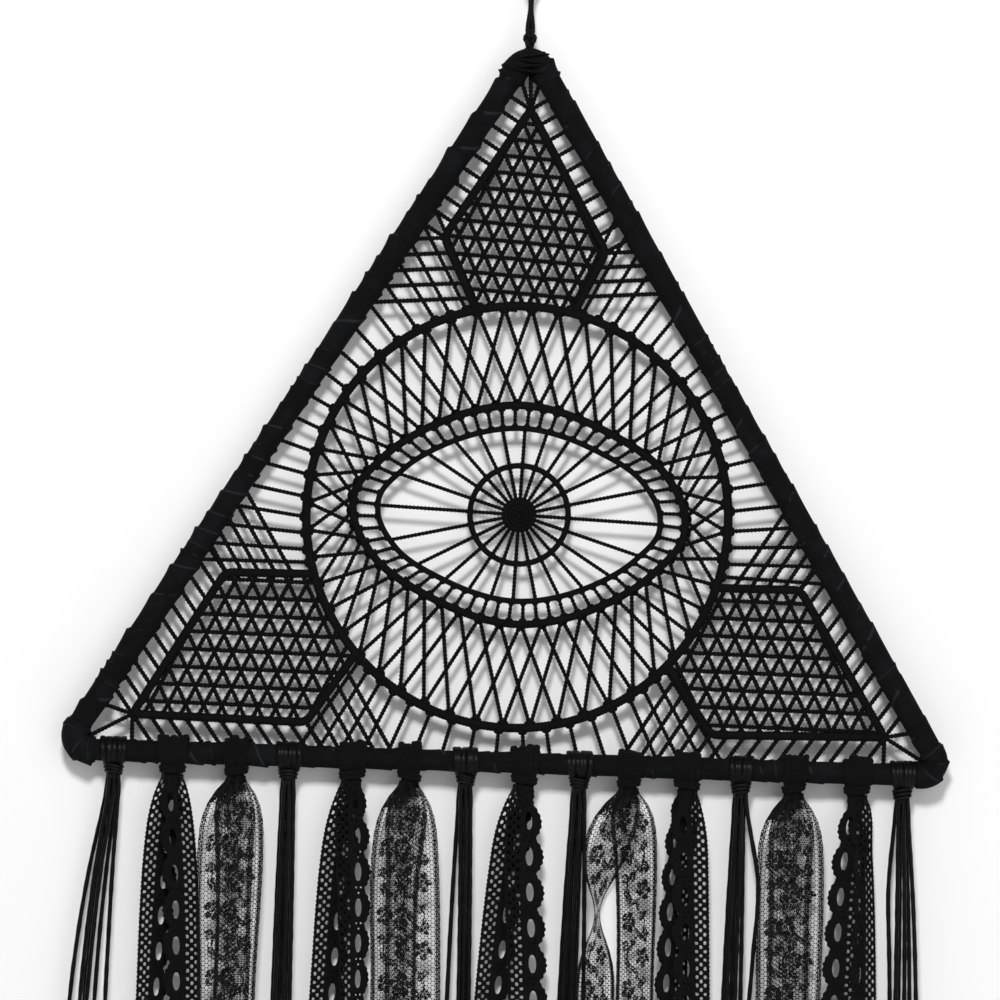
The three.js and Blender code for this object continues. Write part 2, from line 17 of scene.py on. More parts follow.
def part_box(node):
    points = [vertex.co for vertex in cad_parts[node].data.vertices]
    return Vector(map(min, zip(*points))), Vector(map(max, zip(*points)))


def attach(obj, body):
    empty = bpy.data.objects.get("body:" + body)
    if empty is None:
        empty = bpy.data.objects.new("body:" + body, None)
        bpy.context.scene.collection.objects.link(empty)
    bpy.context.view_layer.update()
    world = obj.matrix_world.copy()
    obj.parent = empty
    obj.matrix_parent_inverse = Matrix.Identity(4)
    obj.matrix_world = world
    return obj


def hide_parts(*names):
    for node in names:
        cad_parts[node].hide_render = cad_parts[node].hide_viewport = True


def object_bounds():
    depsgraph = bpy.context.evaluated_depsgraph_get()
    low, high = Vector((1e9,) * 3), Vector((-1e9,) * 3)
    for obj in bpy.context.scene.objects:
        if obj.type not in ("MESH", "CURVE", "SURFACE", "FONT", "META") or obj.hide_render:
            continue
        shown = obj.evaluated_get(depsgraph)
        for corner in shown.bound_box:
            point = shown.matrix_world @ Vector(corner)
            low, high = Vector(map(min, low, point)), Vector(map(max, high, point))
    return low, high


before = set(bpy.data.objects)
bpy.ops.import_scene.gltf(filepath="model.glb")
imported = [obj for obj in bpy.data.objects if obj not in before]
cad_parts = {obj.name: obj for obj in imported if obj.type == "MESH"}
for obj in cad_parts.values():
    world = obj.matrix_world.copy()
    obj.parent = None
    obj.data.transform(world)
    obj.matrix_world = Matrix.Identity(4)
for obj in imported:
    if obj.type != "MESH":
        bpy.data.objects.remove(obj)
CAD_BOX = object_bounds()

log = logging.getLogger("dream_catcher")
Array = np.ndarray

MM = 0.001
TAU = 2 * np.pi
FRONT = np.array([0.0, -1.0, 0.0])
SIDEWAYS = np.array([1.0, 0.0, 0.0])
UPWARDS = np.array([0.0, 0.0, 1.0])


# ---------------------------------------------------------------- shapes


def unit(vectors: Array) -> Array:
    """The same vectors, one long."""
    return vectors / np.maximum(np.linalg.norm(vectors, axis=-1, keepdims=True), 1e-12)


def travelled(path: Array) -> Array:
    """How far along a path each of its points is."""
    return np.concatenate([[0.0], np.cumsum(np.linalg.norm(np.diff(path, axis=0), axis=1))])


def spaced(path: Array, step: float) -> Array:
    """A path walked again in even steps.

    Args:
        path: Points, one a row.
        step: The length of a step, rounded so that a whole number of them fits.

    Returns:
        Points on the straight lines between the given ones, evenly spaced by distance.
    """
    far = travelled(path)
    stops = np.linspace(0, far[-1], max(int(round(far[-1] / step)), 1) + 1)
    return np.stack([np.interp(stops, far, column) for column in path.T], axis=1)


def through(points: Array, step: float) -> Array:
    """A smooth path through a few points.

    Between two points it is the cubic whose slopes at both are the points' own gradient
    by distance.

    Args:
        points: The points to pass, one a row.
        step: The spacing of the path.

    Returns:
        The path, evenly spaced.
    """
    points = np.asarray(points, float)
    knots = travelled(points)
    slopes = np.gradient(points, knots, axis=0)
    fine = np.linspace(0, knots[-1], 12 * len(points))
    at = np.clip(np.searchsorted(knots, fine, side="right") - 1, 0, len(knots) - 2)
    span = (knots[at + 1] - knots[at])[:, None]
    t = (fine - knots[at])[:, None] / span
    start = (2 * t**3 - 3 * t**2 + 1) * points[at] + (t**3 - 2 * t**2 + t) * span * slopes[at]
    end = (3 * t**2 - 2 * t**3) * points[at + 1] + (t**3 - t**2) * span * slopes[at + 1]
    return spaced(start + end, step)


def loop_through(points: Array, count: int) -> Array:
    """A smooth closed path through points.

    Args:
        points: The points to pass, one a row, without the first again at the end.
        count: How many points the path has.

    Returns:
        The path, evenly spaced, without the first point again at the end.
    """
    points = np.asarray(points, float)
    wound = through(np.concatenate([points, points, points, points[:1]]), 0.25)
    third, near = len(wound) // 3, 20
    start = third - near
    start += np.argmin(np.linalg.norm(wound[start : third + near] - points[0], axis=1))
    turn = wound[start : start + third + 1]
    closed = np.concatenate([turn, turn[:1]])
    far = travelled(closed)
    stops = np.linspace(0, far[-1], count, endpoint=False)
    return np.stack([np.interp(stops, far, column) for column in closed.T], axis=1)


def flat(points: Array, depth: float | Array = 0.0) -> Array:
    """Points of flat work, given as (x, height), stood up in the frame's plane."""
    points = np.asarray(points, float)
    return np.stack([points[:, 0], np.broadcast_to(depth, len(points)), points[:, 1]], axis=1)


def turns(count: int) -> Array:
    """The angles of a circle's evenly spaced points, in radians."""
    return np.arange(count) * TAU / count


def polar(radius: float | Array, degrees: float | Array) -> Array:
    """Points (x, height) at a distance and direction from the origin."""
    angle = np.radians(degrees)
    return np.stack(np.broadcast_arrays(radius * np.cos(angle), radius * np.sin(angle)), axis=-1)


def carry(path: Array, ring: Array, normal: Array, closed: bool) -> Array:
    """A ring of offsets carried along a path.

    A point of the grid is the path's point, plus the ring's first offset across the path
    and its second along the part of the normal that is square to it.

    Args:
        path: (n, 3) points.
        ring: (n, m, 2) or (1, m, 2) offsets.
        normal: A direction that the path never takes.
        closed: Whether the path joins its own start.

    Returns:
        An (n, m, 3) grid of points.
    """
    if closed:
        along = unit(np.roll(path, -1, axis=0) - np.roll(path, 1, axis=0))
    else:
        along = unit(np.gradient(path, axis=0))
    across = unit(np.cross(along, normal))
    out = np.cross(across, along)
    return path[:, None] + ring[..., :1] * across[:, None] + ring[..., 1:] * out[:, None]


@dataclass
class Surface:
    """Grids and fans of faces, gathered in millimetres until they become one mesh."""

    points: list[Array] = field(default_factory=list)
    quads: list[Array] = field(default_factory=list)
    quad_places: list[Array] = field(default_factory=list)
    fans: list[Array] = field(default_factory=list)
    fan_places: list[Array] = field(default_factory=list)
    count: int = 0

    def _keep(self, points: Array) -> int:
        """Adds points and returns the number of the first."""
        first = self.count
        self.points.append(points.reshape(-1, 3))
        self.count += self.points[-1].shape[0]
        return first

    def add_tube(self, grid: Array, along: Array, closed: bool = False) -> None:
        """Adds a grid whose columns close into rings.

        Args:
            grid: (n, m, 3) points, with rings facing out as carry() makes them.
            along: (n,) places along it, which become the second UV number.
            closed: Whether the last ring joins the first. Otherwise both ends are capped.
        """
        rows, sides = grid.shape[:2]
        first = self._keep(grid)
        spans = rows if closed else rows - 1
        i, j = np.meshgrid(np.arange(spans), np.arange(sides), indexing="ij")
        ahead, beside = (i + 1) % rows, (j + 1) % sides
        numbers = [i * sides + j, ahead * sides + j, ahead * sides + beside, i * sides + beside]
        self.quads.append(first + np.stack(numbers, axis=-1).reshape(-1, 4))
        tail = along[-1] + (along[-1] - along[-2]) if closed else along[-1]
        ends = np.append(along, tail) if closed else along
        lay = [(j, i), (j, i + 1), (j + 1, i + 1), (j + 1, i)]
        places = [np.stack([u / sides, ends[v]], axis=-1) for u, v in lay]
        self.quad_places.append(np.stack(places, axis=-2).reshape(-1, 4, 2))
        if closed:
            return
        middles = self._keep(np.stack([grid[0].mean(axis=0), grid[-1].mean(axis=0)]))
        j = np.arange(sides)
        beside = (j + 1) % sides
        last = first + (rows - 1) * sides
        self.fans.append(np.stack([first + j, first + beside, np.full(sides, middles)], axis=1))
        self.fans.append(np.stack([last + beside, last + j, np.full(sides, middles + 1)], axis=1))
        for end in (along[0], along[-1]):
            place = np.stack([np.stack([u / sides, np.full(sides, end)], -1) for u in (j, j + 1, j)], 1)
            self.fan_places.append(place)

    def sweep(self, path: Array, ring: Array, normal: Array = FRONT, closed: bool = False) -> None:
        """Carries a ring of offsets along a path and adds the tube."""
        if closed:
            along = travelled(np.concatenate([path, path[:1]]))[:-1]
        else:
            along = travelled(path)
        self.add_tube(carry(path, ring, normal, closed), along / 10, closed)

    def build(self, name: str) -> bpy.types.Object:
        """Makes the gathered faces one smooth mesh object, in metres.

        Args:
            name: The object's name.

        Returns:
            The object, at the origin.
        """
        points = np.concatenate(self.points) * MM
        faces = np.concatenate(self.quads).tolist()
        places = [np.concatenate(self.quad_places).reshape(-1, 2)]
        if self.fans:
            faces += np.concatenate(self.fans).tolist()
            places.append(np.concatenate(self.fan_places).reshape(-1, 2))
        mesh = bpy.data.meshes.new(name)
        mesh.from_pydata(points.tolist(), [], faces)
        layer = mesh.uv_layers.new(name="lay")
        layer.data.foreach_set("uv", np.concatenate(places).ravel().astype(np.float32))
        mesh.polygons.foreach_set("use_smooth", np.ones(len(mesh.polygons), bool))
        mesh.update()
        piece = bpy.data.objects.new(name, mesh)
        bpy.context.scene.collection.objects.link(piece)
        return piece


@dataclass(frozen=True)
class Thread:
    """A laid thread or cord: plies twisted round each other."""

    radius: float
    lay: float = 2.8  # length of one full turn of the plies
    plies: int = 2
    groove: float = 0.3  # depth between plies, as a share of the radius
    sides: int = 8
    step: float = 0.5
    flatten: float = 1.0  # its depth, front to back, as a share of its width

    def ring(self, path: Array, closed: bool = False) -> Array:
        """The thread's outline at each point of a path.

        The radius dips between plies as a cosine that turns once every lay.

        Args:
            path: Points, one a row.
            closed: Whether the turns are evened out so that the ends meet.

        Returns:
            (n, sides, 2) offsets.
        """
        whole = np.concatenate([path, path[:1]]) if closed else path
        far = travelled(whole)
        lay = far[-1] / max(round(far[-1] / self.lay), 1) if closed else self.lay
        far = far[: len(path), None]
        angle = turns(self.sides)
        turn = self.plies * (angle + TAU * far / lay)
        swell = self.radius * (1 - self.groove * (0.5 - 0.5 * np.cos(turn)))
        return np.stack([swell * np.cos(angle), self.flatten * swell * np.sin(angle)], axis=-1)

    def lay_along(self, surface: Surface, path: Array, normal: Array = FRONT) -> None:
        """Adds the thread along an open path."""
        path = spaced(path, self.step)
        surface.sweep(path, self.ring(path), normal)

    def lay_round(self, surface: Surface, path: Array, normal: Array = FRONT) -> None:
        """Adds the thread round a closed path, which is already evenly spaced."""
        surface.sweep(path, self.ring(path, closed=True), normal, closed=True)


def hitch(surface: Surface, at: Array, along: Array, length: float, radius: float) -> None:
    """Adds the small knot where a thread is hitched over a cord.

    It is a bead whose radius is the square root of one minus its place squared.

    Args:
        surface: Where it is added.
        at: Its middle, three numbers.
        along: The direction that it lies in.
        length: Its whole length.
        radius: Half its thickness.
    """
    place = np.array([-0.97, -0.6, 0.0, 0.6, 0.97])
    path = at + place[:, None] * unit(along) * length / 2
    angle = turns(7)
    swell = radius * np.sqrt(1 - place[:, None] ** 2)
    ring = np.stack([swell * np.cos(angle), swell * np.sin(angle)], axis=-1)
    surface.sweep(path, ring)


# ---------------------------------------------------------------- finishes


class Value:
    """A number socket in a material. Arithmetic on it adds Math nodes."""

    def __init__(self, paint: "Paint", socket: bpy.types.NodeSocket) -> None:
        """Wraps a socket of a material."""
        self.paint = paint
        self.socket = socket

    def math(self, operation: str, *others: "Value | float") -> "Value":
        """The result of a Math node with this value as its first input."""
        inputs = dict(enumerate((self, *others)))
        return self.paint.node("ShaderNodeMath", inputs, operation=operation)

    def __add__(self, other: "Value | float") -> "Value":
        """This plus another."""
        return self.math("ADD", other)

    def __sub__(self, other: "Value | float") -> "Value":
        """This less another."""
        return self.math("SUBTRACT", other)

    def __mul__(self, other: "Value | float") -> "Value":
        """This times another."""
        return self.math("MULTIPLY", other)

    def __truediv__(self, other: "Value | float") -> "Value":
        """This over another."""
        return self.math("DIVIDE", other)

    __radd__ = __add__
    __rmul__ = __mul__

    def __rsub__(self, other: float) -> "Value":
        """A number less this."""
        return self * -1.0 + other

    def above(self, edge: "Value | float") -> "Value":
        """One where this is above an edge, and zero elsewhere."""
        return self.math("GREATER_THAN", edge)

    def below(self, edge: "Value | float") -> "Value":
        """One where this is below an edge, and zero elsewhere."""
        return self.math("LESS_THAN", edge)

    def size(self) -> "Value":
        """This without its sign."""
        return self.math("ABSOLUTE")

    def most(self, other: "Value | float") -> "Value":
        """The larger of the two."""
        return self.math("MAXIMUM", other)

    def cosine(self) -> "Value":
        """The cosine of this many radians."""
        return self.math("COSINE")

    def wrapped(self, period: float) -> "Value":
        """This, brought to within half a period of zero."""
        return self.math("WRAP", period / 2, -period / 2)

    def clamped(self) -> "Value":
        """This, held between zero and one."""
        return self.math("MINIMUM", 1.0).math("MAXIMUM", 0.0)


Input = Value | float | tuple


class Paint:
    """A material being made."""

    def __init__(self, name: str) -> None:
        """Starts an empty material."""
        self.material = bpy.data.materials.new(name)
        self.material.use_nodes = True
        self.tree = self.material.node_tree
        self.tree.nodes.clear()

    def node(self, kind: str, inputs: dict | None = None, out: int | str = 0, **settings) -> Value:
        """Adds a node.

        Args:
            kind: The node's type.
            inputs: Values or links by the name or number of their socket.
            out: The name or number of the socket wanted.
            **settings: The node's own settings, set first.

        Returns:
            The wanted output.
        """
        node = self.tree.nodes.new(kind)
        for key, value in settings.items():
            setattr(node, key, value)
        for key, value in (inputs or {}).items():
            if isinstance(value, Value):
                self.tree.links.new(value.socket, node.inputs[key])
            else:
                node.inputs[key].default_value = value
        return Value(self, node.outputs[out])

    def mix(self, share: Input, first: Input, second: Input) -> Value:
        """A colour between two others."""
        return self.node(
            "ShaderNodeMix", {0: share, 6: first, 7: second}, 2, data_type="RGBA", clamp_factor=True
        )

    def place(self, kind: str, scale: tuple[float, float, float]) -> Value:
        """Object or UV coordinates, scaled."""
        where = self.node("ShaderNodeTexCoord", out=kind)
        return self.node("ShaderNodeMapping", {"Vector": where, "Scale": scale})

    def noise(self, where: Value, scale: float, detail: float = 3.0, rough: float = 0.55) -> Value:
        """Noise about one half, at a place."""
        inputs = {"Vector": where, "Scale": scale, "Detail": detail, "Roughness": rough}
        return self.node("ShaderNodeTexNoise", inputs)

    def bump(self, height: Value, strength: float, distance: float) -> Value:
        """A normal for a height, at a strength, for a height of one being a distance."""
        inputs = {"Height": height, "Strength": strength, "Distance": distance}
        return self.node("ShaderNodeBump", inputs)

    def uv(self) -> tuple[Value, Value]:
        """The two numbers of the piece's own UV map."""
        where = self.node("ShaderNodeTexCoord", out="UV")
        split = self.node("ShaderNodeSeparateXYZ", {0: where})
        return split, Value(self, split.socket.node.outputs[1])

    def close(self, **sockets: Input) -> bpy.types.Material:
        """Ends the material with a Principled shader.

        Args:
            **sockets: Its inputs, with _ for each space in their names.

        Returns:
            The material.
        """
        named = {key.replace("_", " "): value for key, value in sockets.items()}
        shader = self.node("ShaderNodeBsdfPrincipled", named)
        output = self.tree.nodes.new("ShaderNodeOutputMaterial")
        self.tree.links.new(shader.socket, output.inputs["Surface"])
        return self.material


def shade(grey: float, blue: float = 1.0) -> tuple[float, float, float, float]:
    """A near-neutral colour, with its blue held against its red."""
    return (grey, grey * (1 + blue) / 2, grey * blue, 1.0)


class Finish:
    """A finish that is painted once and then shared."""

    made: dict["Finish", bpy.types.Material] = {}

    def material(self) -> bpy.types.Material:
        """The finish's material."""
        if self not in Finish.made:
            Finish.made[self] = self.paint()
        return Finish.made[self]

    def paint(self) -> bpy.types.Material:
        """Makes the material."""
        raise NotImplementedError


@dataclass(frozen=True)
class CottonThread(Finish):
    """Dull black cotton: hairy plies with their own fine twist."""

    name: str = "web_cotton"
    slot: str = "web_thread"
    grey: float = 0.0044
    roughness: float = 0.8
    gloss: float = 0.06

    def paint(self) -> bpy.types.Material:
        """Makes the material from fibres that follow the thread."""
        paint = Paint(self.name)
        fibres = paint.noise(paint.place("UV", (14, 9, 1)), 1.0, 4.0, 0.6)
        patches = paint.noise(paint.place("Object", (1, 1, 1)), 160.0)
        lighter_share = (fibres * 0.7 + patches * 0.5 - 0.35).clamped()
        colour = paint.mix(lighter_share, shade(self.grey * 0.55), shade(self.grey * 1.9, 1.04))
        return paint.close(
            Base_Color=colour,
            Roughness=(fibres * 0.25 + (self.roughness - 0.12)).clamped(),
            Specular_IOR_Level=self.gloss,
            Normal=paint.bump(fibres, 0.55, 0.00025),
        )


@dataclass(frozen=True)
class WaxedCord(Finish):
    """Slate-black waxed cord: fine fibres under a soft polish."""

    name: str = "waxed_cord"
    slot: str = "waxed_cord"
    grey: float = 0.0040
    roughness: float = 0.3

    def paint(self) -> bpy.types.Material:
        """Makes the material from long fibres and rubbed patches."""
        paint = Paint(self.name)
        fibres = paint.noise(paint.place("UV", (22, 2.2, 1)), 1.0, 4.0, 0.65)
        rubbed = paint.noise(paint.place("Object", (1, 1, 0.35)), 260.0)
        lighter_share = (fibres * 0.8 + rubbed * 0.6 - 0.4).clamped()
        colour = paint.mix(lighter_share, shade(self.grey * 0.5), shade(self.grey * 2.1, 1.1))
        return paint.close(
            Base_Color=colour,
            Roughness=(rubbed * 0.35 + (self.roughness - 0.14)).clamped(),
            Specular_IOR_Level=0.09,
            Coat_Weight=0.04,
            Coat_Roughness=0.2,
            Normal=paint.bump(fibres, 0.6, 0.0003),
        )


@dataclass(frozen=True)
class Velvet(Finish):
    """Black velvet ribbon, wound on a slant, with a painted highlight along the lip of each turn."""

    name: str = "velvet_ribbon"
    slot: str = "velvet"
    grey: float = 0.0036

    def paint(self) -> bpy.types.Material:
        """Makes the material from a nap, from crushed patches and from a painted highlight along the lips of
        the turns.
        """
        paint = Paint(self.name)
        around, turns = paint.uv()
        lip = (turns * 10.0 + around).math("FRACT")
        nap = paint.noise(paint.place("Object", (1, 1, 1)), 1500.0, 4.0, 0.7)
        crush = paint.noise(paint.place("Object", (1, 1, 1)), 95.0, 3.0, 0.6)
        # Painted highlight: the lip at the end of each turn is painted lighter inside the crushed patches;
        # the crushed patches and the nap add random tone.
        lighter_share = (lip.above(0.93) * crush.above(0.52) * 0.75 + (crush - 0.45) * 0.7).clamped()
        lighter_share = (lighter_share + nap * 0.25).clamped()
        # The lighter bluish grey is both the painted lip highlight and the crushed patches' own tone.
        colour = paint.mix(lighter_share, shade(self.grey, 1.05), shade(self.grey * 5.0, 1.15))
        return paint.close(
            Base_Color=colour,
            Roughness=(0.97 - crush * 0.12).clamped(),
            Specular_IOR_Level=0.04,
            Sheen_Weight=0.03,
            Sheen_Roughness=0.35,
            Sheen_Tint=(0.6, 0.65, 0.75, 1.0),
            Normal=paint.bump(nap + crush * 0.8, 0.5, 0.0004),
        )


@dataclass(frozen=True)
class CrochetCotton(Finish):
    """Matt black cotton trim, worked in rows of small stitches."""

    name: str = "crochet_cotton"
    slot: str = "crochet_cotton"
    grey: float = 0.0052
    row: float = 0.13  # height of a row of stitches, in the UV map's centimetres
    stitch: float = 0.1

    def paint(self) -> bpy.types.Material:
        """Makes the material from stitches, slanted one way in each row, with painted highlight on their
        crests and painted shade between them.
        """
        paint = Paint(self.name)
        across, down = paint.uv()
        slant = across + (down / self.row * 0.5).math("FRACT").above(0.5) * (self.stitch / 2)
        loops = (slant * (TAU / self.stitch)).cosine() * (down * (TAU / self.row)).cosine()
        fluff = paint.noise(paint.place("Object", (1, 1, 1)), 1100.0, 4.0, 0.65)
        # Painted highlight and shade: the stitch loops' crests are painted lighter and the hollows between
        # them darker; the fluff gives random tone.
        painted_crest_light_and_fluff = (loops * 0.22 + fluff * 0.9 - 0.2).clamped()
        colour = paint.mix(painted_crest_light_and_fluff, shade(self.grey * 0.45), shade(self.grey * 2.6, 1.08))
        return paint.close(
            Base_Color=colour,
            Roughness=(fluff * 0.2 + 0.78).clamped(),
            Specular_IOR_Level=0.06,
            Sheen_Weight=0.02,
            Sheen_Roughness=0.45,
            Normal=paint.bump(loops * 0.5 + fluff, 0.7, 0.00035),
        )


@dataclass(frozen=True)
class LaceRibbon(Finish):
    """Black lace: hexagonal net, flowers and leaves, and corded edges."""

    name: str = "lace_ribbon"
    slot: str = "lace_ribbon"
    width: float = 25.0
    grey: float = 0.0052
    cell: float = 1.55
    repeat: float = 27.0
    thickness: float = 0.9

    def net(self, u: Value, v: Value) -> Value:
        """Honeycomb threads, where three cosines at sixty degrees sum to little."""
        pitch = TAU / self.cell
        sum_of_three = (u * pitch).cosine()
        for side in (-0.5, 0.5):
            sum_of_three = sum_of_three + (u * side * pitch + v * 0.866 * pitch).cosine()
        return sum_of_three.below(-1.06)

    def flower(self, u: Value, v: Value, at: tuple[float, float], radius: float) -> Value:
        """A five-petalled flower with a ring of holes round its heart."""
        across, along = u - at[0], (v - at[1]).wrapped(self.repeat)
        far = (across * across + along * along).math("SQRT")
        petals = (along.math("ARCTAN2", across) * 2.5).cosine().size()
        edge = petals * (0.36 * radius) + 0.66 * radius
        heart = (far - 0.3 * radius).size().below(0.055 * radius)
        veins = petals.below(0.2) * far.above(0.4 * radius)
        return far.below(edge) * (1 - heart.most(veins))

    def leaf(self, u: Value, v: Value, at: tuple[float, float], turn: float, length: float) -> Value:
        """A pointed leaf with an open midrib."""
        across, along = u - at[0], (v - at[1]).wrapped(self.repeat)
        cos, sin = float(np.cos(turn)), float(np.sin(turn))
        tip = along * cos + across * sin
        side = (across * cos - along * sin).size()
        inside = (tip * tip / length**2 + side * (3.1 / length)).below(1.0)
        return inside * side.above(0.16)

    def paint(self) -> bpy.types.Material:
        """Makes the material; its holes are a mask, its threads stand up in the bump, and its raised parts
        carry a little painted highlight.
        """
        paint = Paint(self.name)
        across, down = paint.uv()
        wobble = paint.noise(paint.place("UV", (1, 1, 1)), 4.5, 3.0)
        sway = paint.noise(paint.place("UV", (1.3, 1, 1)), 3.1, 3.0)
        u = across * 10.0 + (wobble - 0.5) * 4.5
        v = down * 10.0 + (sway - 0.5) * 4.5
        middle = self.width / 2
        half = self.repeat / 2
        motif = self.flower(u, v, (middle - 4.6, 0.0), 4.4)
        flowers = (
            ((middle + 4.4, half), 4.1),
            ((middle + 5.6, half - 9.4), 2.5),
            ((middle - 6.2, half - 3.4), 2.3),
        )
        for at, radius in flowers:
            motif = motif.most(self.flower(u, v, at, radius))
        leaves = (
            ((middle + 1.4, 4.2), 0.7, 4.2),
            ((middle + 4.4, -3.6), -0.9, 3.8),
            ((middle - 2.2, half - 4.6), -0.6, 4.0),
            ((middle - 5.2, half + 3.4), 0.5, 4.2),
            ((middle - 0.6, half + 5.4), -1.1, 3.4),
            ((middle + 0.8, -6.8), 0.3, 3.2),
        )
        for at, turn, length in leaves:
            motif = motif.most(self.leaf(u, v, at, turn, length))
        vine = (u - middle - (v * (TAU / self.repeat)).cosine() * 5.2).size().below(0.42)
        motif = motif.most(vine)
        edge = (across * 10.0 - middle).size()
        cords = edge.above(middle - 2.2) * (edge * (TAU / 0.72)).cosine().above(-0.25)
        rungs = edge.above(middle - 2.4) * (v * (TAU / 0.9)).cosine().above(0.55)
        net = self.net(across * 10.0, down * 10.0)
        solid = motif.most(cords).most(rungs)
        fibres = paint.noise(paint.place("Object", (1, 1, 1)), 1600.0, 3.0)
        open_weave = motif * fibres.above(0.44)
        gathers = (across * 0.35 + down + wobble * 1.2).below(1.75)
        folded = gathers * (fibres * 2.4 + wobble * 1.2).above(1.5)
        mask = open_weave.most(folded).most(cords).most(rungs).most(net * self.thickness)
        # Painted highlight: the motif, corded edges and rungs, which stand up in the bump, are painted a
        # little lighter; the fibres give random tone.
        lighter_share = (fibres * 0.8 + solid * 0.2 - 0.1).clamped()
        colour = paint.mix(lighter_share, shade(self.grey * 0.5), shade(self.grey * 2.4, 1.08))
        return paint.close(
            Base_Color=colour,
            Roughness=(fibres * 0.2 + 0.66).clamped(),
            Specular_IOR_Level=0.08,
            Alpha=mask.clamped(),
            Normal=paint.bump(solid + fibres * 0.5, 0.5, 0.0003),
        )


@dataclass(frozen=True)
class DrawnWire(Finish):
    """Plain steel wire, drawn lengthways."""

    name: str = "drawn_wire"
    slot: str = "wire"

    def paint(self) -> bpy.types.Material:
        """Makes the material from faint scratches and tarnish."""
        paint = Paint(self.name)
        tarnish = paint.noise(paint.place("Object", (1, 1, 1)), 320.0, 4.0)
        colour = paint.mix(tarnish, shade(0.2, 1.02), shade(0.42, 1.03))
        return paint.close(
            Base_Color=colour,
            Metallic=1.0,
            Roughness=(tarnish * 0.35 + 0.2).clamped(),
            Normal=paint.bump(tarnish, 0.2, 0.0002),
        )


WEB_COTTON = CottonThread()
HANGER_COTTON = CottonThread("hanger_cotton", "hanger_cord", 0.004, 0.6, 0.12)
WAXED = WaxedCord()
VELVET = Velvet()
CROCHET = CrochetCotton()
LACE = LaceRibbon()
WIRE = DrawnWire()


def place(piece: bpy.types.Object, finish: Finish, body: str, *nodes: str) -> bpy.types.Object:
    """Dresses a piece and puts it on its body.

    Args:
        piece: The finished mesh object.
        finish: Its finish.
        body: The body that it moves with.
        *nodes: The nodes of the frame that it stands for.

    Returns:
        The same piece.
    """
    piece.data.materials.clear()
    piece.data.materials.append(finish.material())
    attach(piece, body)
    if nodes:
        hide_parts(*nodes)
    log.info("%s: %d faces on %s", piece.name, len(piece.data.polygons), body)
    return piece


# ---------------------------------------------------------------- places read from the frame


def span(node: str) -> tuple[Array, Array]:
    """The lowest and highest corners of a node of the frame, in millimetres."""
    low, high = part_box(node)
    return np.array(low) / MM, np.array(high) / MM


def middle(node: str) -> Array:
    """The middle of a node's box, in millimetres."""
    low, high = span(node)
    return (low + high) / 2


BAR = middle("velvet_wrap_bottom")[2]  # height of the bottom bar's axis
KNOT = middle("hanger_knot")


def raised(points: Array) -> Array:
    """Points given above the bar's axis, put in the frame."""
    return points + np.array([0.0, 0.0, BAR])


def stood(points: Array | list[Array], depth: float | Array = 0.0) -> Array:
    """Flat work, given as (x, height above the bar's axis), put in the frame."""
    return raised(flat(points, depth))


def flat_hitch(surface: Surface, at: Array, along: Array, length: float, radius: float) -> None:
    """Adds the knot of a hitch in flat work, at (x, height) and lying along (x, height)."""
    hitch(surface, stood([at])[0], flat([along])[0], length, radius)


# ---------------------------------------------------------------- hanger


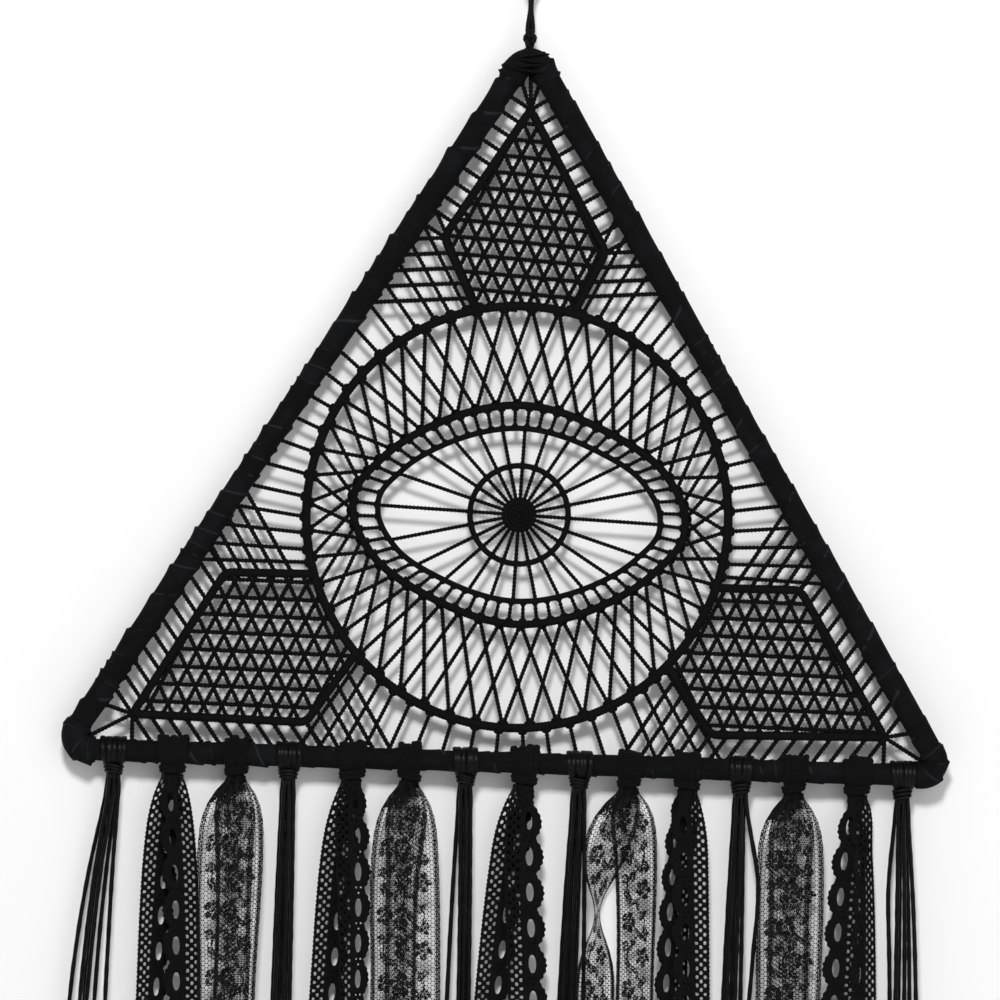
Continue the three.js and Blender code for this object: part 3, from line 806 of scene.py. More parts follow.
@dataclass
class Hanger:
    """The cord that the frame hangs by: a loop, a knot, and a lashing round the wire."""

    cord: float = 1.1  # radius
    # Half of the loop, as offsets from the knot's centre, from the knot to its crown.
    rise: tuple[tuple[float, float, float], ...] = (
        (-0.6, 0.0, 0.6),
        (-0.95, 0.0, 3.3),
        (-0.95, -0.2, 5.5),
        (-0.6, -0.75, 8.5),
        (-0.15, -0.98, 12.0),
        (-0.15, -1.0, 15.5),
        (-0.7, -0.85, 19.0),
        (-1.9, -0.55, 22.5),
        (-3.2, -0.25, 26.0),
        (-3.95, -0.05, 29.5),
        (-3.9, 0.0, 32.5),
        (-2.9, 0.0, 35.2),
        (-1.3, 0.0, 36.6),
    )
    crown: tuple[float, float, float] = (0.0, 0.0, 36.85)

    def build_loop(self) -> None:
        """Makes the loop, one cord from the knot over the nail and back into the knot."""
        rise = np.array(self.rise)
        fall = rise[::-1] * np.array([-1.0, -1.0, 1.0])
        route = KNOT + np.concatenate([rise, [self.crown], fall])
        path = through(route, 0.5)
        surface = Surface()
        thread = Thread(self.cord, lay=4.2, plies=3, groove=0.2, sides=12, step=0.5)
        surface.sweep(path, thread.ring(path), FRONT)
        loop = place(surface.build("hanging_cord"), HANGER_COTTON, "hanger", "hanger_loop")

    def build_knot(self) -> None:
        """Makes the overhand knot: a three-lobed closed turn of the same cord."""
        t = turns(150)
        turn = np.stack(
            [
                0.66 * (np.sin(t) + 2 * np.sin(2 * t)),
                0.66 * (np.cos(t) - 2 * np.cos(2 * t)),
                -1.1 * np.sin(3 * t),
            ],
            axis=1,
        )
        path = KNOT + turn[:, [0, 2, 1]] * np.array([1.0, 1.0, 1.45])
        surface = Surface()
        along = unit(np.roll(path, -1, axis=0) - np.roll(path, 1, axis=0))
        side = np.cross(along, unit(path - KNOT))
        thread = Thread(self.cord, lay=4.2, plies=3, groove=0.2, sides=12)
        ring = thread.ring(path, closed=True)
        grid = path[:, None] + ring[..., :1] * unit(side)[:, None]
        grid = grid + ring[..., 1:] * np.cross(unit(side), along)[:, None]
        surface.add_tube(grid, travelled(path) / 10, closed=True)
        place(surface.build("overhand_knot"), HANGER_COTTON, "knot", "hanger_knot")

    def build_lashing(self) -> None:
        """Makes the two strands below the knot and the turn that they take of the wire."""
        low, high = span("hanger_tie")
        surface = Surface()
        thread = Thread(self.cord * 0.85, lay=3.4, plies=3, groove=0.2, sides=10)
        for side in (-0.62, 0.62):
            foot, crown = [side, 0.0, low[2] + 6], [side * 0.8, 0.0, high[2]]
            path = through([foot, [side * 1.1, -side * 0.4, high[2] - 3], crown], thread.step)
            surface.sweep(path, thread.ring(path))
        radius = (high[1] - low[1]) / 2 - self.cord
        angle = turns(60)
        centre = np.array([0.0, 0.0, low[2] + radius + self.cord])
        turn = np.stack([0 * angle, np.cos(angle), np.sin(angle)], axis=1)
        thread.lay_round(surface, centre + radius * turn, SIDEWAYS)
        place(surface.build("wire_lashing"), HANGER_COTTON, "frame", "hanger_tie")

    def build(self) -> None:
        """Makes every piece of the hanger."""
        self.build_loop()
        self.build_knot()
        self.build_lashing()


# ---------------------------------------------------------------- frame


@dataclass
class WrappedFrame:
    """A bent wire triangle, bound in velvet ribbon."""

    half_base: float = 175.3
    height: float = 285.8
    bend: float = 5.8
    left_spread: float = 2.4  # how much further out the left corner is bent
    apex_shift: float = 0.4
    bare: float = 12.0  # how far from the corners the sides' ribbons stop
    side_radius: float = 4.8
    bar_radius: float = 4.45
    sides: int = 44
    step: float = 0.55

    def corners(self) -> tuple[Array, Array, Array]:
        """The unrounded left, right and top corners of the wire's middle line."""
        left = np.array([-self.half_base - self.left_spread, 0.0])
        return left, np.array([self.half_base, 0.0]), np.array([self.apex_shift, self.height])

    def rounded(self, before: Array, corner: Array, after: Array, reach: float) -> Array:
        """The rounded corner from one side to the next, with straight wire at both ends.

        Args:
            before: The corner before it.
            corner: The corner.
            after: The corner after it.
            reach: How much straight wire each end has.

        Returns:
            Its middle line, (x, height) a row.
        """
        back, ahead = unit(before - corner), unit(after - corner)
        half = np.arccos(back @ ahead) / 2
        centre = corner + unit(back + ahead) * self.bend / np.sin(half)
        tangent = self.bend / np.tan(half)
        start = corner + back * tangent - centre
        turn = np.linspace(0, 1, 16)[:, None] * (np.pi - 2 * half)
        turn = -turn * np.sign(back[0] * ahead[1] - back[1] * ahead[0])
        arc = centre + start * np.cos(turn) + np.array([-start[1], start[0]]) * np.sin(turn)
        straight = tangent + reach
        return np.concatenate([[corner + back * straight], arc, [corner + ahead * straight]])

    def binding(self, path: Array, radius: float, pitch: float, lip: float, seed: int) -> Surface:
        """Ribbon wound along a path.

        The radius climbs from each turn's start to its lip, then drops back, and turns are
        uneven: their ends come from a seeded draw.

        Args:
            path: The wire's middle line, (x, height) a row.
            radius: The wrap's mean radius.
            pitch: The mean width of ribbon that shows in a turn.
            lip: How far a lip stands above the next turn.
            seed: The draw's seed.

        Returns:
            The wrap.
        """
        draw = np.random.default_rng(seed)
        path = spaced(flat(path), self.step)
        far = travelled(path)
        widths = pitch * draw.choice([0.4, 0.75, 1.1, 1.6], int(far[-1] / pitch * 2.4) + 4)
        ends = np.concatenate([[0.0], np.cumsum(widths)])
        turn = np.interp(far, ends, np.arange(len(ends)))[:, None]
        angle = turns(self.sides)
        spiral = turn + angle / TAU
        within = spiral % 1.0
        number = np.floor(spiral).astype(int)
        heights = lip * draw.uniform(0.25, 1.5, len(ends) + 2)[number]
        crease = 0.10 * np.sin(angle * 5 + number * 2.4) * np.sin(within * np.pi)
        pull = 0.16 * np.sin(angle * 2 + 0.35 * far[:, None] / pitch)
        swell = radius - lip * 0.35 + heights * within**3 + crease + pull
        swell *= 1 - 0.12 * (np.minimum(far, far[-1] - far)[:, None] < 0.8)
        ring = np.stack([swell * np.cos(angle), swell * np.sin(angle)], axis=-1)
        surface = Surface()
        surface.add_tube(carry(raised(path), ring, FRONT, False), turn[:, 0] / 10)
        return surface

    def bind_apex(self, surface: Surface, top: Array) -> None:
        """Adds level turns of ribbon round both sides, just under the top corner."""
        slope = self.half_base / self.height
        angle = turns(72)
        ribbon = turns(12)
        drops_and_slants = ((3.4, 0.22), (5.4, -0.16), (7.4, 0.12), (9.4, -0.08))
        for number, (drop, slant) in enumerate(drops_and_slants):
            wide = drop * slope + 3.4
            deep = 4.6 + 0.3 * (number % 2)
            turn = np.stack([top[0] + wide * np.cos(angle), -deep * np.sin(angle), 0 * angle], axis=1)
            turn[:, 2] = top[1] - drop + slant * turn[:, 0]
            ring = np.stack([0.5 * np.cos(ribbon), 2.3 * np.sin(ribbon)], axis=-1)
            grid = carry(raised(turn), ring[None, :, ::-1], UPWARDS, True)[:, ::-1]
            surface.add_tube(grid, travelled(turn) / 10, closed=True)

    def build(self) -> None:
        """Makes the bindings of the three sides and of the three corners."""
        left, right, top = self.corners()
        run = unit(top - left)
        fall = unit(right - top)
        level = np.array([1.0, 0.0])
        sides = (
            ("left_binding", "velvet_wrap_left", left, top, run, self.side_radius, 10.5, 0.85, 3),
            ("right_binding", "velvet_wrap_right", right, top, -fall, self.side_radius, 12.0, 0.5, 5),
            ("bar_binding", "velvet_wrap_bottom", left, right, level, self.bar_radius, 11.5, 0.6, 8),
        )
        for name, node, start, end, way, radius, pitch, lip, seed in sides:
            path = np.array([start + way * self.bare, end - way * self.bare])
            binding = self.binding(path, radius, pitch, lip, seed)
            place(binding.build(name), VELVET, "frame", node)
        corners = (
            ("left_corner_turns", "corner_wrap_left", (top, left, right), 2.4, 5.8, 21),
            ("right_corner_turns", "corner_wrap_right", (left, right, top), 2.4, 5.5, 22),
            ("apex_turns", "apex_wrap", (right, top, left), 6.5, 5.4, 27),
        )
        for name, node, points, reach, radius, seed in corners:
            path = self.rounded(*points, reach)
            binding = self.binding(path, radius, 5.0, 0.8, seed)
            if node == "apex_wrap":
                self.bind_apex(binding, top)
            place(binding.build(name), VELVET, "frame", node)
        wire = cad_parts["wire_triangle"]
        wire.data.materials.clear()
        wire.data.materials.append(WIRE.material())


# ---------------------------------------------------------------- web


@dataclass
class Side:
    """One straight side of the frame, with the foot of the web's centre on it."""

    start: Array
    end: Array
    centre: Array

    def __post_init__(self) -> None:
        """Works out its direction, its inward normal and the foot."""
        self.along = unit(self.end - self.start)
        normal = np.array([self.along[1], -self.along[0]])
        self.inward = normal * np.sign(normal @ (self.centre - self.start))
        self.foot = self.start + self.along * ((self.centre - self.start) @ self.along)

    def station(self, far: float, inset: float = 3.4) -> Array:
        """The point a distance along from the foot, set in from the wire."""
        return self.foot + self.along * far + self.inward * inset

    def crossing(self, at: Array, heading: Array, inset: float = 3.4) -> Array:
        """Where a line meets the side, set in from the wire."""
        depth = (at - self.start) @ self.inward - inset
        return at - heading * depth / (heading @ self.inward)


@dataclass
class EyeWeb:
    """The round web and its eye, and the threads that hold the ring in the frame."""

    frame_shape: WrappedFrame
    ring_radius: float = 84.4
    ring_height: float = 98.3
    thread: Thread = Thread(0.98, lay=3.0, groove=0.38)
    fine: Thread = Thread(0.92, lay=3.0, groove=0.38)
    heavy: Thread = Thread(1.9, lay=4.2, plies=3, groove=0.12, sides=14, flatten=0.8)
    lid_cord: Thread = Thread(1.7, lay=4.0, plies=3, groove=0.12, sides=14, flatten=0.8)
    light: Thread = Thread(1.25, lay=3.4, plies=3, groove=0.14, sides=12, flatten=0.9)
    nodes: int = 48
    lean: float = 1.5  # how many places a lattice thread leans between ring and lid
    rays: int = 24
    rungs: int = 60
    pupil: float = 6.8
    tilt: float = 2.2  # degrees that the eye's long axis falls to the right
    tip_share: float = 0.0106  # how far round the outline its first point is past the tip
    ring_shift: float = 0.9  # the web sits a little right of the frame's middle
    eye_shift: float = 1.6
    # The length and radius of each kind of knot.
    ring_hitch: tuple[float, float] = (4.6, 1.4)
    lattice_hitch: tuple[float, float] = (3.8, 1.2)
    tie_hitch: tuple[float, float] = (4.0, 1.3)
    outer_hitch: tuple[float, float] = (3.2, 1.0)
    inner_hitch: tuple[float, float] = (2.8, 0.95)
    spoke_hitch: tuple[float, float] = (2.6, 0.85)
    # The upper lid from its left tip to its right tip, about the eye's centre.
    lid: tuple[tuple[float, float], ...] = (
        (-66.2, 6.2),
        (-55.6, 20.8),
        (-34.5, 35.2),
        (0.0, 43.8),
        (34.8, 33.9),
        (58.7, 17.1),
        (66.4, 1.2),
    )
    inner_scale: tuple[float, float] = (0.85, 0.79)
    # Ties on half a side: distance from the foot along the frame, and degrees round the ring.
    ties: tuple[tuple[float, float], ...] = (
        (5.5, 3.2),
        (16.0, 9.6),
        (27.0, 16.0),
        (38.0, 22.2),
        (48.5, 28.2),
        (58.5, 33.6),
        (67.5, 38.0),
        (76.5, 42.5),
        (84.5, 46.0),
    )

    def __post_init__(self) -> None:
        """Places the ring, the eye and the lids."""
        self.centre = np.array([self.ring_shift, self.ring_height])
        low, high = span("iris_and_pupil")
        self.eye = np.array([self.eye_shift, (low[2] + high[2]) / 2 - BAR])
        self.iris = (high[0] - low[0]) / 2 - self.light.radius
        upper = np.array(self.lid)
        shape = np.concatenate([upper, -upper])
        self.outer = self.eye + loop_through(shape, 640)
        self.inner = self.eye + loop_through(shape * np.array(self.inner_scale), 560)

    def on_outline(self, outline: Array, share: Array) -> Array:
        """Points a share of the way round a lid outline, from its left tip over the top."""
        closed = np.concatenate([outline, outline[:1]])
        place = np.asarray(share) % 1.0 * len(outline)
        numbers = np.arange(len(closed))
        return np.stack([np.interp(place, numbers, column) for column in closed.T], axis=-1)

    def towards(self, outline: Array, degrees: Array) -> Array:
        """The points of a lid outline in given directions from the eye's centre."""
        offset = outline - self.eye
        angle = np.degrees(np.arctan2(offset[:, 1], offset[:, 0]))
        order = np.argsort(angle)
        wanted = (np.asarray(degrees) + 180) % 360 - 180
        columns = [np.interp(wanted, angle[order], column[order], period=360) for column in outline.T]
        return np.stack(columns, axis=-1)

    def run(self, surface: Surface, start: Array, end: Array, depth: float, thread: Thread) -> None:
        """Adds a straight thread, a little in front of or behind the middle plane."""
        thread.lay_along(surface, stood(np.array([start, end]), depth))

    def build_ring(self) -> None:
        """Makes the ring and the knots hitched round it."""
        surface = Surface()
        self.heavy.lay_round(surface, stood(self.circle(self.centre, self.ring_radius, self.heavy)))
        for degrees in self.directions(self.nodes):
            at = self.centre + polar(self.ring_radius - 1.9, degrees)
            flat_hitch(surface, at, polar(1.0, degrees + 90), *self.ring_hitch)
        place(surface.build("ring_cord"), WEB_COTTON, "frame", "ring_and_lattice")

    def directions(self, count: int) -> Array:
        """Evenly spread directions, in degrees, from the eye's left tip over its top."""
        return 180 - self.tilt - np.arange(count) * 360 / count

    def circle(self, centre: Array, radius: float, thread: Thread) -> Array:
        """A circle with a point for each of a thread's steps."""
        count = int(TAU * radius / thread.step)
        return centre + polar(radius, np.arange(count) * 360 / count)

    def lid_share(self, place_number: Array) -> Array:
        """How far round a lid a knot is: closer together at the tips than at the top."""
        phase = np.asarray(place_number) * TAU / self.nodes
        return (phase - 0.09 * np.sin(2 * phase)) / TAU

    def build_lattice(self) -> None:
        """Makes the crossing threads between the ring and the outer lids."""
        surface = Surface()
        numbers = np.arange(self.nodes)
        knots = self.centre + polar(self.ring_radius - 0.6, self.directions(self.nodes))
        for lean in (-self.lean, self.lean):
            feet = self.on_outline(self.outer, self.lid_share(numbers + lean) - self.tip_share)
            for knot, foot in zip(knots, feet):
                self.run(surface, knot, foot, 0.42 * np.sign(lean), self.thread)
                out = unit(foot - self.eye) * 1.5
                flat_hitch(surface, foot + out, [-out[1], out[0]], *self.lattice_hitch)
        place(surface.build("lattice_threads"), WEB_COTTON, "frame", "ring_and_lattice")

    def build_ties(self, sides: list[Side]) -> None:
        """Makes the ties from the ring to the frame, which lean with the panels' edges."""
        surface = Surface()
        for side in sides:
            outward = np.degrees(np.arctan2(-side.inward[1], -side.inward[0]))
            turn = np.sign(side.along @ polar(1.0, outward + 90))
            for far, degrees in self.ties:
                for way in (-1, 1):
                    foot = self.centre + polar(self.ring_radius + 0.6, outward + way * turn * degrees)
                    self.run(surface, foot, side.station(way * far), 0.3, self.thread)
                    tangent = polar(1.0, outward + way * turn * degrees + 90)
                    at = self.centre + polar(self.ring_radius + 1.7, outward + way * turn * degrees)
                    flat_hitch(surface, at, tangent, *self.tie_hitch)
        place(surface.build("ring_ties"), WEB_COTTON, "frame", "ring_and_lattice")

    def build_lids(self) -> None:
        """Makes both pairs of lids and the rungs between them."""
        surface = Surface()
        self.lid_cord.lay_round(surface, stood(self.outer))
        shares = (np.arange(self.rungs) + 0.5) / self.rungs
        for start, end in zip(self.on_outline(self.outer, shares), self.on_outline(self.inner, shares)):
            self.run(surface, start, end, 0.0, self.fine)
            along = end - start
            across = [-along[1], along[0]]
            flat_hitch(surface, start + unit(along) * 1.6, across, *self.outer_hitch)
            flat_hitch(surface, end - unit(along) * 1.0, across, *self.inner_hitch)
        place(surface.build("outer_lid_cord"), WEB_COTTON, "frame", "outer_lids")
        surface = Surface()
        self.light.lay_round(surface, stood(self.inner))
        angles = self.directions(self.rays)
        ends = self.towards(self.inner, angles)
        for degrees, end in zip(angles, ends):
            self.run(surface, self.eye + polar(self.iris, degrees), end, 0.0, self.fine)
        place(surface.build("inner_lid_cord"), WEB_COTTON, "frame", "inner_lids")

    def build_iris(self) -> None:
        """Makes the iris ring, its spokes, and the pupil as a flat coil."""
        surface = Surface()
        self.light.lay_round(surface, stood(self.circle(self.eye, self.iris, self.light)))
        for degrees in self.directions(self.rays):
            start = self.eye + polar(self.pupil - 1.5, degrees)
            self.run(surface, start, self.eye + polar(self.iris, degrees), 0.0, self.fine)
            at = self.eye + polar(self.iris - 0.9, degrees)
            flat_hitch(surface, at, polar(1.0, degrees + 90), *self.spoke_hitch)
        cord = Thread(1.0, lay=3.2, groove=0.24)
        t = np.linspace(0.02, 1, 420)
        for depth in (-0.7, 0.7):
            coil = self.eye + polar((self.pupil - 1.0) * t, 360 * 4.0 * t + 60 * depth)
            cord.lay_along(surface, stood(coil, depth))
            rim = self.eye + polar(self.pupil - 1.0, np.arange(72) * 5.0)
            cord.lay_round(surface, stood(rim, depth))
        place(surface.build("iris_and_coil"), WEB_COTTON, "frame", "iris_and_pupil")

    def build(self) -> list[Side]:
        """Makes the whole web and returns the frame's sides."""
        left, right, top = self.frame_shape.corners()
        sides = [Side(a, b, self.centre) for a, b in ((left, top), (top, right), (right, left))]
        self.build_ring()
        self.build_lattice()
        self.build_ties(sides)
        self.build_lids()
        self.build_iris()
        return sides


@dataclass
class CornerPanel:
    """A net in a corner of the frame, bordered by a heavy cord."""

    name: str
    # Its corners: the tip, round to the ring, along the ring, and back.
    outline: tuple[tuple[float, float], ...]
    row_start: float
    row_pitch: float
    column_start: float
    column_pitch: float
    lift: float  # how far the rows pass above the crossings of the slanted threads
    mirror: int
    fall: float = 0.0  # how far the net sinks to the right, as a slope
    lean: tuple[float, float] | None = None  # the rungs' direction, where it isn't square
    rung_pitch: float = 7.0
    side_pitch: float = 6.6
    border: Thread = Thread(1.85, lay=4.2, plies=3, groove=0.13, sides=12, flatten=0.8)
    thread: Thread = Thread(1.06, lay=3.0, groove=0.36)

    def corners(self) -> Array:
        """The outline, turned over for a panel on the left."""
        return np.array(self.outline) * np.array([self.mirror, 1])

    def clipped(self, at: Array, heading: Array, corners: Array) -> Array | None:
        """The stretch of a line that lies within a convex outline.

        Args:
            at: A point of the line.
            heading: Its direction.
            corners: The outline.

        Returns:
            Its two ends, or None where it misses.
        """
        heart = corners.mean(axis=0)
        low, high = -1e3, 1e3
        for start, end in zip(corners, np.roll(corners, -1, axis=0)):
            normal = np.array([end[1] - start[1], start[0] - end[0]])
            normal = normal * np.sign(normal @ (heart - start))
            depth, rate = (at - start) @ normal, heading @ normal
            if rate > 0:
                low = max(low, -depth / rate)
            elif rate < 0:
                high = min(high, -depth / rate)
            elif depth < 0:
                return None
        if high - low < 1.5:
            return None
        return np.array([at + low * heading, at + high * heading])

    def net_lines(self) -> list[tuple[Array, Array, float]]:
        """A point, a direction and a depth for each thread of the net."""
        lines = []
        rise = unit(np.array([self.column_pitch / 2, self.row_pitch]))
        for number in range(-14, 15):
            height = self.row_start + number * self.row_pitch
            lines.append((np.array([0.0, height + self.lift]), np.array([1.0, 0.0]), 0.0))
            across = self.mirror * self.column_start + number * self.column_pitch
            base = np.array([across, self.row_start])
            lines.append((base, rise, 0.55))
            lines.append((base, rise * np.array([-1, 1]), -0.55))
        fall = np.array([[1.0, 0.0], [self.fall, 1.0]])
        return [(fall @ at, unit(fall @ heading), depth) for at, heading, depth in lines]

    def build(self, web: EyeWeb, sides: list[Side]) -> None:
        """Makes the net, its border, its rungs to the frame and the small nets beside it.

        Args:
            web: The round web, whose ring the panel meets.
            sides: The frame's sides.
        """
        corners = self.corners()
        corners[2:4] = web.centre + unit(corners[2:4] - web.centre) * (web.ring_radius + 0.6)
        surface = Surface()
        for at, heading, depth in self.net_lines():
            ends = self.clipped(at, heading, corners)
            if ends is not None:
                self.thread.lay_along(surface, stood(ends, depth))
        edge = np.array([corners[2], corners[1], corners[0], corners[4], corners[3]])
        self.border.lay_along(surface, stood(self.softened(edge)))
        for side in sides:
            self.add_rungs(surface, corners, side)
        frame_corners = np.array([side.start for side in sides])
        nearest = frame_corners[np.argmin(np.linalg.norm(frame_corners - corners[0], axis=1))]
        spoke = np.array([corners[0], nearest + unit(corners[0] - nearest) * 7.0])
        self.thread.lay_along(surface, stood(spoke, 0.2))
        for near, end in ((1, 2), (4, 3)):
            self.add_side_net(surface, corners[near], corners[end], corners[0], sides)
        place(surface.build(f"{self.name}_net"), WEB_COTTON, "frame", self.name)

    def softened(self, edge: Array) -> Array:
        """An outline whose corners are rounded by cutting them a little short."""
        pieces = [edge[:1]]
        for before, corner, after in zip(edge, edge[1:], edge[2:]):
            t = np.linspace(0, 1, 7)[:, None]
            start = corner + unit(before - corner) * 3.0
            end = corner + unit(after - corner) * 3.0
            pieces.append((1 - t) ** 2 * start + 2 * t * (1 - t) * corner + t**2 * end)
        pieces.append(edge[-1:])
        return np.concatenate(pieces)

    def add_rungs(self, surface: Surface, corners: Array, side: Side) -> None:
        """Adds short threads from the panel's border across to a side of the frame.

        Beyond the panel's tip one more leans towards the frame's corner.

        Args:
            surface: Where they are added.
            corners: The panel's outline.
            side: The frame's side.
        """
        depth = (corners - side.start) @ side.inward
        near = corners[depth < 20]
        if len(near) < 2:
            return
        tip = corners[0]
        far = near[np.argmax(np.linalg.norm(near - tip, axis=1))]
        run = far - tip
        heading = side.inward if self.lean is None else unit(np.array(self.lean))
        count = int(round(np.linalg.norm(run) / self.rung_pitch))
        for number in range(count + 1):
            start = tip + run * number / count
            foot = side.crossing(start, heading)
            self.thread.lay_along(surface, stood(np.array([start, foot]), 0.1))
        foot = side.crossing(tip, heading) - unit(run) * 8.0
        self.thread.lay_along(surface, stood(np.array([tip, foot]), 0.1))

    def add_side_net(self, surface: Surface, near: Array, end: Array, tip: Array, sides: list[Side]) -> None:
        """Adds threads from the panel's short edge to the side of the frame beside it.

        They run along the frame side that the panel's corner doesn't touch.

        Args:
            surface: Where they are added.
            near: The short edge's corner beside the frame.
            end: Its corner on the ring.
            tip: The panel's tip.
            sides: The frame's sides.
        """
        gaps = [abs((near - side.start) @ side.inward) for side in sides]
        beside = sides[int(np.argmin(gaps))]
        far = [abs((tip - side.start) @ side.inward) for side in sides]
        heading = sides[int(np.argmax(far))].along
        length = np.linalg.norm(end - near)
        heading = unit(heading + np.array([0.0, 1.0]) * self.fall * 1.2)
        for place_along in np.arange(0.3, length - 4.5, self.side_pitch):
            start = near + unit(end - near) * place_along
            foot = beside.crossing(start, heading)
            self.thread.lay_along(surface, stood(np.array([start, foot]), -0.35))


TOP_OUTLINE = ((1.2, 261.3), (33.0, 205.2), (21.3, 181.5), (-18.6, 182.5), (-31.8, 209.3))
LOW_OUTLINE = ((150.5, 14.8), (81.0, 13.6), (61.5, 42.0), (80.5, 72.9), (115.0, 72.6))


def build_panels(web: EyeWeb, sides: list[Side]) -> None:
    """Makes the three corner panels and the tie from the top one to the apex."""
    low = (LOW_OUTLINE, 17.65, 7.15, 86.0, 7.2, 0.8)
    panels = (
        CornerPanel("panel_top", TOP_OUTLINE, 188.4, 6.8, -1.9, 6.85, -0.7, 1, fall=-0.06),
        CornerPanel("panel_left", *low, -1, fall=-0.012, lean=(-0.58, 0.81)),
        CornerPanel("panel_right", *low, 1, fall=-0.012, lean=(0.58, 0.81)),
    )
    for panel in panels:
        panel.build(web, sides)


# ---------------------------------------------------------------- tassels


class Kind(Enum):
    """What a tassel is made of."""

    CORDS = "cords"
    CROCHET = "crochet"
    LACE = "lace"


@dataclass(frozen=True)
class Bunch:
    """How a kind's folded middle is tied over the bar."""

    strands: int
    radius: float  # of one turn of cord or gathered fold
    spread: float  # half the width of the turns on the bar
    neck: float  # half the width below the collar
    depth: float  # half the depth below the collar
    collar_turns: int
    collar_radius: float
    core_foot: float  # the height at which the core inside the collar ends


BUNCHES = {
    Kind.CORDS: Bunch(6, 1.2, 3.9, 2.9, 1.9, 3, 0.8, -12.0),
    Kind.CROCHET: Bunch(6, 1.6, 4.4, 3.9, 2.3, 2, 1.1, -18.5),
    Kind.LACE: Bunch(6, 1.4, 3.9, 3.5, 2.1, 2, 1.0, -12.0),
}
FINISHES = {Kind.CORDS: WAXED, Kind.CROCHET: CROCHET, Kind.LACE: LACE}
LACE_FOLDS = CrochetCotton("lace_folds", "lace_ribbon", 0.005, 0.07, 0.05)


@dataclass
class Tassel:
    """Cords or trim, folded over the bar and hanging in two halves."""

    kind: Kind
    number: int
    bar_radius: float = 4.8
    rise: float = 4.0  # how far up into the collar the tails reach
    collar_top: float = -5.9  # the height of the collar's first turn
    collar_pitch: float = 1.35

    def __post_init__(self) -> None:
        """Reads its place from the frame."""
        self.name = f"{self.kind.value}_{self.number}"
        self.bunch = BUNCHES[self.kind]
        self.x = middle(f"{self.name}_knot")[0]
        low, high = span(f"{self.name}_tails")
        self.top = high[2]
        self.drop = self.top - low[2]

    def build_knot(self) -> bpy.types.Object:
        """Makes the turns over the bar and the collar under it.

        A turn is a ring round the bar, pulled down to the collar; the collar's turns are
        flattened rings round the neck.
        """
        bunch = self.bunch
        draw = np.random.default_rng(100 + int(self.x * 10) % 997)
        surface = Surface()
        angle = turns(72)
        cords = self.kind is Kind.CORDS
        groove = 0.1 if cords else 0.3
        turn = Thread(bunch.radius * 0.5, lay=5.0, plies=2, groove=groove, sides=10, flatten=2.0)
        for number in range(bunch.strands):
            share = number / (bunch.strands - 1) * 2 - 1
            lobe = 0.1 if cords else draw.uniform(0.2, 2.4)
            radius = self.bar_radius + 0.35 + draw.uniform(-0.1, 0.15)
            radius = radius + lobe * np.exp(-(((angle - 1.9) / 0.5) ** 2))
            below = np.clip(-np.sin(angle), 0, 1) ** 2
            across = share * bunch.spread * (1 - 0.38 * below) + draw.uniform(-0.3, 0.3)
            across = across + 0.45 * np.sin(angle + draw.uniform(0, TAU))
            deep = radius * np.cos(angle) * (1 - 0.5 * below)
            high = radius * np.sin(angle) - 1.1 * below
            path = np.stack([self.x + across, deep, high], axis=1)
            turn.lay_round(surface, raised(path), SIDEWAYS)
        collar = Thread(bunch.collar_radius, lay=4.6, plies=2, groove=0.16, sides=9)
        lean = draw.uniform(-0.9, 0.9)
        for number in range(bunch.collar_turns):
            ring = np.stack(
                [
                    self.x + (bunch.neck + 0.6 - 0.25 * number) * np.cos(angle),
                    -(bunch.depth + 0.9) * np.sin(angle),
                    self.collar_top - self.collar_pitch * number + lean * np.cos(angle + 0.3 * number),
                ],
                axis=1,
            )
            collar.lay_round(surface, raised(ring), UPWARDS)
        core = np.array([[self.x, 0.0, height] for height in (-4.6, -7.5, -11.0, bunch.core_foot)])
        size = np.array([0.9, 1.0, 0.92, 0.45])[:, None]
        ring = np.stack(
            [bunch.neck * 0.92 * size * np.cos(angle[::4]), bunch.depth * size * np.sin(angle[::4])], -1
        )
        surface.sweep(raised(core), ring, FRONT)
        finish = LACE_FOLDS if self.kind is Kind.LACE else FINISHES[self.kind]
        return place(surface.build(f"{self.name}_turns"), finish, self.name, f"{self.name}_knot")

    def build(self) -> None:
        """Makes the whole tassel."""
        raise NotImplementedError


